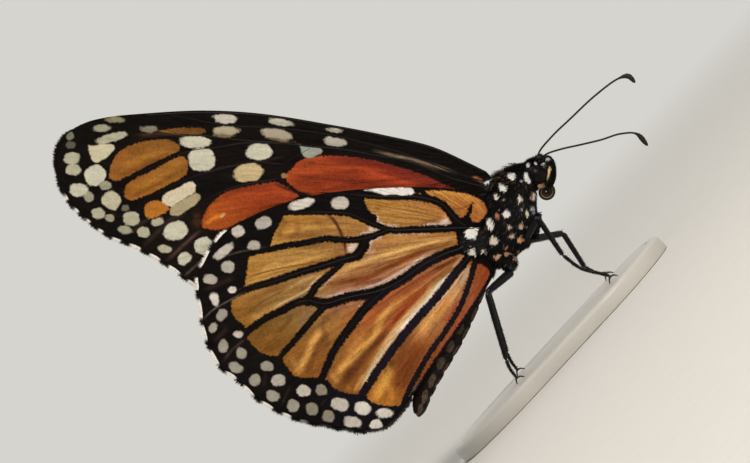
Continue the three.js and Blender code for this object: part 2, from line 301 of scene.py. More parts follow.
# ---------------- materials
def wing_scale_finish():
    """Overlapping powdery scales on a wing: dull, with the ragged colour edges of single scales.

    The real scales are 0.1 mm long. They are drawn about twice that, or they wouldn't show.
    """
    material, tree, shader, place = new_finish("wing scales", 0.7, 0.06)
    ground, dark, pale, fan = (
        add(tree, "ShaderNodeAttribute", out="Vector", attribute_name=key)
        for key in ("ground", "dark", "pale", "fan")
    )
    black, white, dust = (
        add(tree, "ShaderNodeAttribute", out="Fac", attribute_name=key)
        for key in ("black_depth", "white_depth", "dust")
    )
    # Single scales and three noises have so many grains to the millimetre. The last is streaks
    # along the pleats, painted light and shade in the colour and a bump too: where, how fine, detail,
    # roughness.
    scale_cell = add(tree, "ShaderNodeTexVoronoi", {"Vector": place, "Scale": 5.2}, out="Color")
    grains = ((place, 4.6, 3, 0.7), (place, 4.4, 2, 0.7), (place, 1.1, 3, 0.6), (fan, 1.0, 2.5, 0.6))
    ragged, speckle, mottle, pleat_shade_and_bump = (
        add(tree, "ShaderNodeTexNoise", {"Vector": at, "Scale": fine, "Detail": detail, "Roughness": rough})
        for at, fine, detail, rough in grains
    )
    pleat = {"Value": pleat_shade_and_bump, "From Min": 0.34, "From Max": 0.66}
    pleat_shade_and_bump = add(tree, "ShaderNodeMapRange", pleat, interpolation_type="SMOOTHSTEP")

    # The grains break up the edge of the black and of the white: field, shares, soft edge.
    edges = (
        (black, ((ragged, 0.7), (scale_cell, 0.14)), -0.06, 0.06),
        (white, ((ragged, 0.22), (mottle, 0.5)), -0.04, 0.16),
    )
    fields = []
    for depth, shares, low, high in edges:
        for value, share in shares:
            centred = add(tree, "ShaderNodeMath", {0: value, 1: -0.5}, operation="ADD")
            depth = add(tree, "ShaderNodeMath", {0: centred, 1: share, 2: depth}, operation="MULTIPLY_ADD")
        edge = {"Value": depth, "From Min": low, "From Max": high}
        fields.append(add(tree, "ShaderNodeMapRange", edge, interpolation_type="SMOOTHSTEP"))
    black, white = fields
    # Pale loose scales, and at the forewing's root a painted highlight along the subcostal vein.
    dusted = add(tree, "ShaderNodeMath", {0: dust, 1: 0.5, 2: speckle}, operation="MULTIPLY_ADD")
    edge = {"Value": dusted, "From Min": 0.72, "From Max": 1.0}
    dusted = add(tree, "ShaderNodeMapRange", edge, interpolation_type="SMOOTHSTEP")

    # The ground has painted light and shade along the pleats, varies from scale to scale and has dark
    # flecks.
    tone = add(tree, "ShaderNodeMath", {0: pleat_shade_and_bump, 1: 0.34, 2: 0.31}, operation="MULTIPLY_ADD")
    for value, share in ((scale_cell, 0.34), (mottle, 0.36), (speckle, 0.34)):
        tone = add(tree, "ShaderNodeMath", {0: value, 1: share, 2: tone}, operation="MULTIPLY_ADD")
    fleck = {"Value": speckle, "From Min": 0.56, "From Max": 0.66, "To Min": 1.03, "To Max": 0.62}
    fleck = add(tree, "ShaderNodeMapRange", fleck, interpolation_type="SMOOTHSTEP")
    tone = add(tree, "ShaderNodeMath", {0: tone, 1: fleck}, operation="MULTIPLY")
    ground = add(tree, "ShaderNodeVectorMath", {0: ground, "Scale": tone}, operation="SCALE")
    ground = {0: dusted, 6: ground, 7: rgba("#d9c4b6")}
    ground = add(tree, "ShaderNodeMix", ground, out=2, data_type="RGBA")

    # Dark and pale scales vary too: colour, least brightness, shares of mottle and single scale.
    varied = []
    for scales, least, mottled, single in ((dark, 0.0, 1.5, 0.35), (pale, 0.74, 0.3, 0.2)):
        tone = add(tree, "ShaderNodeMath", {0: mottle, 1: mottled, 2: least}, operation="MULTIPLY_ADD")
        tone = add(tree, "ShaderNodeMath", {0: scale_cell, 1: single, 2: tone}, operation="MULTIPLY_ADD")
        varied.append(add(tree, "ShaderNodeVectorMath", {0: scales, "Scale": tone}, operation="SCALE"))
    dark, pale = varied
    colour = add(tree, "ShaderNodeMix", {0: black, 6: ground, 7: dark}, out=2, data_type="RGBA")
    colour = add(tree, "ShaderNodeMix", {0: white, 6: colour, 7: pale}, out=2, data_type="RGBA")

    height = add(tree, "ShaderNodeMath", {0: speckle, 1: 0.5, 2: scale_cell}, operation="MULTIPLY_ADD")
    height = add(tree, "ShaderNodeMath", {0: pleat_shade_and_bump, 1: 4.0, 2: height}, operation="MULTIPLY_ADD")
    finish_surface(tree, shader, colour, height, 0.035, 0.8)
    return material


def cuticle_finish(name, dark, light, roughness, grain_per_mm, specular):
    """Hard black insect skin: nearly black, softly glossy, with a fine pitted grain."""
    material, tree, shader, place = new_finish(name, roughness, specular)
    grain = add(tree, "ShaderNodeTexNoise", {"Vector": place, "Scale": grain_per_mm, "Detail": 3})
    tone = {0: grain, 6: rgba(dark), 7: rgba(light)}
    tone = add(tree, "ShaderNodeMix", tone, out=2, data_type="RGBA")
    finish_surface(tree, shader, tone, grain, 0.04, 0.6)
    return material


def marked_finish(name, roughness, grain_per_mm, grain_share, specular=0.15):
    """Hair or scales that carry the colour stored in them, each a little lighter or darker."""
    material, tree, shader, place = new_finish(name, roughness, specular)
    mark = add(tree, "ShaderNodeAttribute", out="Vector", attribute_name="mark")
    grain = add(tree, "ShaderNodeTexNoise", {"Vector": place, "Scale": grain_per_mm, "Detail": 2})
    tone = {0: grain, 1: grain_share, 2: 1 - grain_share / 2}
    tone = add(tree, "ShaderNodeMath", tone, operation="MULTIPLY_ADD")
    mark = add(tree, "ShaderNodeVectorMath", {0: mark, "Scale": tone}, operation="SCALE")
    finish_surface(tree, shader, mark, grain, 0.03, 0.6)
    return material


def pale_hair_finish():
    """Dense white and tan hair scales: soft and silky, so that their edges catch the light."""
    material = marked_finish("pale hair scales", 0.6, 6.0, 0.14, 0.4)
    shader = material.node_tree.nodes["Principled BSDF"]
    shader.inputs["Sheen Weight"].default_value = 0.5
    shader.inputs["Sheen Roughness"].default_value = 0.5
    return material


def eye_finish():
    """Compound eye: dark brown, glossy, faceted. Real facets are 0.025 mm and are drawn 0.11 mm."""
    material, tree, shader, place = new_finish("compound eye facets", 0.36, 0.1)
    shader.inputs["Coat Weight"].default_value = 0.05
    shader.inputs["Coat Roughness"].default_value = 0.16
    facets = add(tree, "ShaderNodeTexVoronoi", {"Vector": place, "Scale": 9.0}, out="Distance")
    stretched = add(tree, "ShaderNodeMapping", {"Vector": place, "Scale": (2.6, 1.0, 1.6)})
    stretched.node.inputs["Rotation"].default_value = (0, math.radians(-47), 0)
    streaks = {"Vector": stretched, "Scale": 1.5, "Detail": 3, "Distortion": 0.6}
    streaks = add(tree, "ShaderNodeTexNoise", streaks)
    edge = {"Value": streaks, "From Min": 0.4, "From Max": 0.68}
    streaks = add(tree, "ShaderNodeMapRange", edge, interpolation_type="SMOOTHSTEP")
    tone = {0: streaks, 6: rgba("#040202"), 7: rgba("#1c1016")}
    tone = add(tree, "ShaderNodeMix", tone, out=2, data_type="RGBA")
    finish_surface(tree, shader, tone, facets, 0.02, 0.5)
    return material


def painted_base_finish():
    """Sprayed satin paint on a moulded base: pale grey, even, with a faint orange-peel ripple."""
    material, tree, shader, place = new_finish("satin painted base", 0.42)
    ripple = add(tree, "ShaderNodeTexNoise", {"Vector": place, "Scale": 1.6, "Detail": 2})
    cloud = add(tree, "ShaderNodeTexNoise", {"Vector": place, "Scale": 0.12, "Detail": 2})
    tone = {0: cloud, 6: rgba("#c2bfb7"), 7: rgba("#d0cdc6")}
    tone = add(tree, "ShaderNodeMix", tone, out=2, data_type="RGBA")
    finish_surface(tree, shader, tone, ripple, 0.02, 0.5)
    return material


def paper_finish():
    """Matt studio paper for the floor and the sweep behind: pale, and evenly so far behind."""
    material, tree, shader, place = new_finish("matt studio paper", 0.9, 0.2)
    fibre = add(tree, "ShaderNodeTexNoise", {"Vector": place, "Scale": 0.4, "Detail": 3})
    tone = {0: fibre, 6: rgba("#dcdad4"), 7: rgba("#e4e2dc")}
    tone = add(tree, "ShaderNodeMix", tone, out=2, data_type="RGBA")
    finish_surface(tree, shader, tone, fibre, 0.05, 0.2)

    rays = add(tree, "ShaderNodeLightPath", out="Is Camera Ray").node.outputs
    seen = {0: rays["Is Camera Ray"], 1: rays["Is Glossy Ray"]}
    seen = {0: add(tree, "ShaderNodeMath", seen, operation="ADD"), 1: rays["Is Transmission Ray"]}
    seen = add(tree, "ShaderNodeMath", seen, operation="ADD")
    behind = add(tree, "ShaderNodeSeparateXYZ", {0: place}, out="Y")
    behind = {"Value": behind, "From Min": 60.0, "From Max": 420.0, "To Max": seen}
    behind = add(tree, "ShaderNodeMapRange", behind, interpolation_type="SMOOTHSTEP")
    even = add(tree, "ShaderNodeEmission", {"Color": rgba("#d6d4ce"), "Strength": 1.0})
    paper = add(tree, "ShaderNodeMixShader", {0: behind, 1: shader.outputs[0], 2: even})
    tree.links.new(paper, tree.nodes["Material Output"].inputs["Surface"])
    return material


# ---------------- wing designs
# Points are (a, b) in the wing's own plane. lead and trail are its front and rear edges, from the
# root outwards. A design's other keys are:
#   outside       how far it lies outside the forewing
#   notch         how far the edge beside the body is hollowed
#   rear_from     the rear edge is plain near the root and fully scalloped from this a on
#   teeth         the ends of veins, where the outer margin stands out
#   fringe_rows   grid rows of the front edge, back from the tip, that carry the fringe
#   fringe_to     the a where the fringe ends, at the rear corner
#   white_fringe  the fringe has white in it only below this b, and beyond white_from in a
#   fan_from      the point that the pleats spread from
#   veins         half widths of the black band at root and end, radii there, line
#   windows       outlines of what isn't black
#   spots         a, b, length, width, turn in degrees, colour; patches are a colour and outline
#   washes        colours about points, which fade over reach; dark_washes colour the black, the
#                 bluish ones with a painted sheen
#   strokes       half width, strength, colour, line: pigment, and painted light and shade on lit
#                 and shaded sides of pleats and creases; dark_strokes lie on the black
#   dust          half width, strength, line of loose scales beside the black; the root lines lie on
#                 it too, and on the forewing are a painted highlight along the subcostal vein
#   crests        height, half width and line of raised pleats
CHALK, IVORY, PEARL, ASH, DUN = "#e2dbd0", "#cbc3b8", "#b8b0a5", "#a39d90", "#918a79"
CREAM, OAT, MOSS, SMOKE = "#cfccb7", "#b8b49c", "#a4a18a", "#6b6a59"
DARK_REACH = 2.6  # how far the dark washes reach

FOREWING = {
    "root": FOREWING_ROOT,
    "outside": 0,
    "white_fringe": -1.2,
    "white_from": 10,
    "fringe_rows": 22,
    "fringe_to": 30.5,
    "teeth": [
        (50.4, 2.3), (49.6, -0.4), (48.3, -2.3), (46.9, -3.6), (45.6, -4.8), (44, -5.8), (41.9, -6.6),
        (39.7, -7.8), (37.5, -9.1), (35.2, -10.7), (33, -12.5),
    ],
    "notch": 0,
    "fan_from": (-4, 1.5),
    "lead": [
        (0.02, 0.45), (0.1, 0.95), (0.55, 1.4), (2.7, 2.35), (6.7, 4.2), (12, 5.55), (18.6, 6.85),
        (26.5, 8.1), (33.1, 8.45), (40, 8.1), (44, 7.7), (46.5, 7.1), (48.3, 6.2), (49.5, 5.1), (50, 4.2),
    ],
    "trail": [
        (0.3, -1.4), (4, -3), (12, -6.6), (22, -10.6), (29, -13.3), (31.2, -13.6), (33.3, -12.2),
        (37.3, -9.2), (41, -7.1), (43.8, -6), (46.4, -4.1), (48.5, -2), (49.7, 0.3), (50.15, 3.2),
    ],
    "rear_from": 17.4,
    "veins": [
        (0, 0, 0.2, 0.1, (0.5, 1.2), (2.7, 2.3), (6.7, 4.1), (12, 5.4), (18.6, 6.7), (26.5, 7.9), (33, 8.2),
         (40, 7.9)),
        (0, 0, 0.1, 0.07, (0.3, 0.1), (4.1, 1.3), (9.4, 3.3), (14.6, 4.75), (17.9, 5.55), (24.3, 6.4),
         (30.4, 6.75), (34.5, 7.5), (37, 8)),
        (0, 0, 0.16, 0.05, (0.3, -0.5), (4.1, 0.5), (9.4, 2.5), (13.4, 3.3), (17.3, 4), (20.7, 4.3),
         (24.5, 4.75), (27, 4.9), (30.4, 5.2), (34, 5.65), (40, 5.3), (43.5, 4.6), (46.5, 4.6), (50.2, 3.8)),
        (0, 0, 0.08, 0.05, (31, 5.3), (36, 5.8), (41, 6), (45, 5.85), (48.9, 5.95)),
        (0, 0, 0.07, 0.05, (36, 5.8), (40, 6.95), (44, 6.95), (47.2, 6.8)),
        (0, 0, 0.07, 0.05, (40, 5.25), (42.2, 4.35), (43.3, 3.6), (45.3, 2.3), (47.3, 2.25), (50.3, 2.3)),
        (0.2, 0.2, 0.1, 0.05, (20.7, 4.3), (24, 4.6), (28, 4.7), (31.5, 4.2), (34.9, 3.7), (38.9, 1.95),
         (42.5, 0.1), (44, -0.95), (48.3, -2.2)),
        (0.25, 0.2, 0.09, 0.05, (23.8, 2.2), (27.2, 2.5), (30.5, 1.8), (34.6, 0.7), (36.5, -0.25),
         (38.8, -1.35), (41.2, -2.6), (43.4, -3.1), (46.5, -4.2)),
        (0.25, 0.2, 0.09, 0.05, (24.3, 0.6), (27.7, 0), (30.4, -0.7), (33.4, -2.2), (35.7, -3.6),
         (40.6, -7.1)),
        (0.3, 0.3, 0.07, 0.07, (20.7, 4.1), (22.3, 3.2), (23.8, 2.2), (24.3, 0.6)),
        (0.45, 0.07, 0.14, 0.07, (0.4, -1.1), (3.4, -2), (6.9, -2.4), (12.7, -1.9), (17.3, -1.4),
         (21.5, -1.3), (24.3, 0.6)),
        (0.22, 0.22, 0.08, 0.05, (21.5, -1.3), (24, -3.3), (28.8, -5.1), (32, -5.6), (34.6, -6.6),
         (37.1, -9)),
        (0.3, 0.25, 0.09, 0.05, (13.4, -1.9), (17.3, -3.6), (25.3, -5.9), (29.4, -7.2), (32.8, -8.5),
         (34.4, -11.2)),
        (0.4, 0.4, 0.12, 0.06, (0.6, -1.3), (5.6, -3.5), (12.8, -6.2), (21, -9.2), (27.6, -11.4),
         (31.4, -13.2)),
    ],
    "windows": [
        [(2.1, 0.85), (1.5, 0.8), (0.7, 0.15), (1.2, 0.2), (1.8, 0.55)],
        [(3.2, -0.9), (4.7, -0.35), (6.2, 0.35), (7.5, 0.95), (9.2, 1.55), (10.9, 2.05), (12.9, 2.55),
         (15, 2.95), (17.2, 3.2), (19.8, 3.15), (22, 2.6), (22.8, 1.8), (23.5, 1), (23.4, 0.3), (22.6, -0.4),
         (21.3, -1.2), (19.4, -1.3), (12.7, -1.6), (6.9, -1.9), (4.2, -1.5)],
        [(21.9, -1.4), (22.9, -0.7), (23.9, -0.1), (25.1, 0.3), (26.7, 0.25), (28.7, -0.25), (30.4, -0.95),
         (31.9, -2), (32.8, -3.3), (33.2, -4.9), (32.5, -5.2), (30.8, -5.3), (28.1, -4), (23.7, -2.4)],
        [(20, -2.6), (24, -4.2), (28.8, -6.1), (30.5, -7.2), (30, -9), (29, -10.6), (26.5, -10.3),
         (20, -7.9), (11, -4.6), (7.5, -3.1), (12.7, -2.6)],
        [(43.9, 0.8), (43.6, 2.4), (42.4, 3.9), (39.8, 4.9), (37, 5.05), (36.1, 4.6), (35.6, 4.05),
         (36.3, 3.6), (38.9, 2.4), (42, 0.8), (43.2, 0.3)],
        [(42.1, -1.4), (41.9, -0.15), (38.9, 1.5), (36, 3.1), (35.3, 3.2), (34.8, 2.4), (35, 1.1), (36.9, 0),
         (39.8, -1.4), (41.6, -1.9)],
        [(39.8, -3.6), (39.7, -2.5), (38.5, -1.9), (36.9, -2.8), (38, -3.6), (39.2, -4)],
        [(38.2, 6.1), (36.4, 6.4), (34.5, 6.5), (32.6, 6.2), (32.8, 5.9), (34.5, 5.65), (36.4, 5.75)],
    ],
    "spots": [
        (48.4, 5.5, 1, 1, 0, "#7c7c68"), (48.3, 4.5, 1.3, 0.9, 0, "#5e5a4e"), (48.2, 3, 2, 1.5, 0, OAT),
        (48, 1.6, 1.8, 1.4, 0, OAT), (47.4, -0.7, 2.2, 1.6, 0, CREAM), (46.2, -1.5, 1.2, 1.3, -20, MOSS),
        (45.1, -3.4, 1.6, 1.3, 0, OAT), (43.8, -3.9, 1.1, 1, 0, MOSS), (42, -5.3, 1.7, 1, 0, MOSS),
        (44.3, -0.2, 1.4, 1.1, 0, MOSS), (45.5, 1, 2.6, 2.4, -40, CREAM), (44.8, 6.4, 2.3, 0.9, 0, MOSS),
        (43.2, 7.4, 2.3, 0.8, 0, "#8b8466"), (43.6, 5.3, 4, 1.1, -15, OAT),
        (39.3, 6.3, 2.2, 0.9, 0, "#84806e"), (43.6, -1.9, 2.1, 2.3, -50, "#c2bda2"),
        (42, -2.8, 0.9, 0.8, 0, SMOKE), (41.3, -4, 2, 1.8, 0, OAT), (38.3, -4.4, 1.7, 1, -15, OAT),
        (39.9, -5.6, 1.5, 1.4, 0, OAT), (36.2, -5.4, 3, 2.2, -20, CREAM), (34, 4.8, 3.7, 1.5, 0, CREAM),
        (33.2, 2.8, 3.2, 2.8, 0, CREAM), (30.5, 7.5, 2.8, 1.2, 0, IVORY),
        (30.4, 6.1, 3.1, 1.1, 0, "#b2a78c"), (30.6, 5.55, 2.7, 0.5, 0, "#7e6c50"),
        (24.1, 7.1, 2.8, 0.9, 12, "#bfbca8"), (24.5, 5.7, 3.8, 1.3, 10, "#aca08c"),
        (24.3, 5.1, 3.1, 0.55, 10, "#7c6850"), (26.6, 3.7, 3.2, 2, 0, CREAM),
        (27.8, 1.3, 3.6, 2.2, -8, "#cdb98c"), (17.8, 6.15, 2.1, 0.7, 10, PEARL),
        (17.9, 4.85, 2.9, 1.1, 8, PEARL), (23.7, 0.9, 0.8, 0.8, 0, "#9a7450"),
        (30.8, -3.6, 0.8, 0.45, -30, "#d8a468"), (33, -7.1, 2.2, 2, -15, CREAM),
        (35.2, -8.6, 1.4, 1.7, 50, CREAM), (37.5, -7.5, 1.8, 1, 10, OAT), (31.3, -10.5, 1.6, 1.3, 0, OAT),
        (32.4, -11.6, 1.5, 1.1, 20, OAT),
    ],
    "patches": [
        ("#d0c9aa", (46.3, 4.5), (43.3, 4.5), (43.3, 3.8), (45.3, 2.4), (45.7, 2.6), (46.2, 3.5)),
        ("#9ca096", (22.1, 4.6), (19.1, 3.8), (20.4, 3), (21.3, 3)),
        ("#d9ccb2", (37.9, -2.2), (37.8, -1.5), (36, -0.4), (34.2, 0.3), (33.9, -0.9), (35, -1.6),
         (36.7, -2.6)),
        ("#b3a582", (33.9, -0.9), (33.2, -1.5), (34.3, -2.7), (36, -3.7), (36.9, -3.5), (36.7, -2.6),
         (35, -1.6)),
    ],
    "ground_colour": "#a8481f",
    "reach": 3.2,
    "washes": [
        (4, 0.6, "#6b261a"), (9, 0.8, "#7a2b1c"), (14, 2.2, "#8a321c"), (14, -0.4, "#84301c"),
        (19, 1.8, "#a4441f"), (19, 0.2, "#93371d"), (22.4, 1.4, "#b85a29"), (22.4, -0.4, "#9a3c1e"),
        (25, -1.2, "#9c3c20"), (28, -1.6, "#a84620"), (31, -2.6, "#a44a22"), (32.4, -4.4, "#b85c20"),
        (30, -6, "#a6521f"), (24, -4.2, "#a6441f"), (15, -3.4, "#9a3c20"), (27, -8, "#b0602c"),
        (20, -6, "#ab5a2c"), (38, 4, "#98652a"), (42, 2.4, "#935f29"), (36.4, 1.6, "#9c6a2b"),
        (40.4, -0.8, "#955d26"), (38.8, -3, "#c07a2c"), (34.6, 6.1, "#6a4826"),
    ],
    # Pigment, and painted light and shade: lit sides of pleats paler, shaded sides and creases darker.
    "strokes": [
        (0.35, 0.8, "#8a6a46", (4.9, 2), (6.9, 2.7), (10.4, 3.3), (13.9, 3.9)),
        (0.28, 0.6, "#6f2a1c", (22.6, 0.8), (16.7, 0.4), (11, 0.2)),
        (0.3, 0.35, "#b8502a", (22, 2.1), (16.4, 1.8), (10, 1.4)),
        (0.35, 0.3, "#a84a28", (23, -0.2), (17, -0.6), (11, -0.9)),
        (0.16, 0.9, "#3a1712", (24.8, 0), (22.4, -0.9), (20.4, -1.3)),
        (0.26, 0.85, "#dc8328", (32.9, -4.7), (31.9, -4), (30.9, -3.5)),
        (0.4, 0.6, "#4a2014", (33.2, -3.6), (32.6, -2.6), (31.4, -1.8)),
        (0.4, 0.5, "#b8822f", (42.4, 2), (39, 3.4), (36.4, 4.2)),
        (0.4, 0.5, "#b8802f", (41.2, -0.9), (38, 0.8), (35.8, 2.1)),
        (0.25, 0.6, "#6e431c", (43.2, 0.7), (40, 2), (37, 3.5)),
        (0.22, 0.5, "#7a4c20", (41.8, -1.7), (38.8, -0.3), (36, 1.2)),
        (0.3, 0.5, "#8d7c62", (37, -1.2), (35.2, -2.2), (34.2, -2.3)),
        (0.3, 0.6, "#6a2416", (8, 1.7), (14, 2.5), (19, 2.9)),
        (0.3, 0.5, "#7a3a20", (20, 2.6), (21.8, 1.9)),
        (0.24, 0.95, "#b5714f", (0.8, 0.15), (1.4, 0.5), (2.1, 0.85)),
        (0.08, 0.8, "#2c1410", (1.3, 0.6), (1.55, 0.7)),
        (0.35, 0.6, "#6e2a1e", (4.7, -0.5), (7.5, 0.8), (10.9, 1.9), (15, 2.8), (19, 3)),
        (0.4, 0.7, "#742b18", (22.7, 0), (20.6, 0), (18.9, -0.1)),
        (0.45, 0.75, "#aa4424", (15, 1.1), (12.9, 0.5), (10.9, 0.1), (8.8, -0.2), (7.4, -0.4)),
        (0.3, 0.6, "#82302a", (6.2, 0), (4.7, -0.4)),
        (0.28, 0.8, "#bc4a2a", (15, 1.8), (12.4, 0.9), (10.4, 0.3), (8.3, -0.4)),
        (0.4, 0.7, "#7c2c22", (12.9, 2.1), (9.9, 1.4), (6.8, 0.3), (4.9, -0.4)),
        (0.4, 0.7, "#863520", (31.1, -1.6), (29, -0.7), (26.7, -0.3), (24.8, -0.3)),
        (0.5, 0.7, "#c4601f", (32.5, -3), (31.3, -2.5)),
    ],
    "dark_colour": "#100b09",
    # Thin paler strokes along veins, the subcostal one by the root too, are painted highlights on raised
    # veins.
    "dark_strokes": [
        (0.2, 0.85, "#5e463d", (37.2, -8.8), (36, -7.7), (34.7, -6.5), (33.3, -5.3)),
        (0.28, 0.7, "#40302b", (40.1, -7.3), (38.6, -5.9), (37, -4.3), (35.2, -3.3)),
        (0.26, 0.6, "#40312c", (41.2, -5.6), (40.1, -4.5), (39.2, -4)),
        (0.1, 0.8, "#75695f", (35.2, -10.6), (34.1, -9.6), (33, -8.6)),
        (0.25, 0.7, "#5c3c22", (41, 5.6), (39.5, 5.7), (37.9, 5.85), (34, 5.6)),
        (0.5, 0.7, "#4a2e16", (34.3, -4), (33.6, -4.6), (33.9, -3.2)),
        (0.15, 0.5, "#33261f", (44.9, -0.9), (43.9, -2.9), (42.7, -3.9)),
        (0.1, 0.5, "#42352c", (22.8, 3.4), (26.3, 2.6), (30.9, 1.9), (33.5, 1.1)),
        (0.25, 0.8, "#9a6048", (0.9, 0.3), (1.5, 0.6), (2, 0.75)),
        (0.22, 0.85, "#948066", (4, 1.3), (5.1, 1.65), (6.3, 2.05), (7.8, 2.45), (9.2, 2.85), (10.7, 3.15),
         (12.2, 3.5), (13.4, 3.8)),
        (0.12, 0.6, "#5e4c3a", (5.8, 1.4), (7.3, 2), (8.8, 2.4)),
    ],
    "dark_washes": [
        (6, 3, "#130e0c"), (12, 4.4, "#120d0c"), (28, 3, "#140e0b"), (34, -7, "#1c1410"), (46, 3, "#120d0b"),
    ],
    "dust": [],
    # These lines along the subcostal vein are painted highlights.
    "root_dust_and_highlight": [
        (0.3, 0.3, (8.5, 3.1), (13.5, 4.2)),
        (0.3, 0.3, (1, 0.6), (2.6, 1.1)),
    ],
    "crests": [
        (0.1, 0.5, (22.6, 1.1), (16.7, 0.9), (8, 0.4)),
        (0.1, 0.6, (31.5, -3.2), (26, -1.9), (18, -2.4)),
        (0.08, 0.6, (43, 1.6), (39, 3.3), (36, 4.3)),
        (0.08, 0.6, (41.6, -1.2), (38.4, 0.6), (35.3, 2.2)),
    ],
}

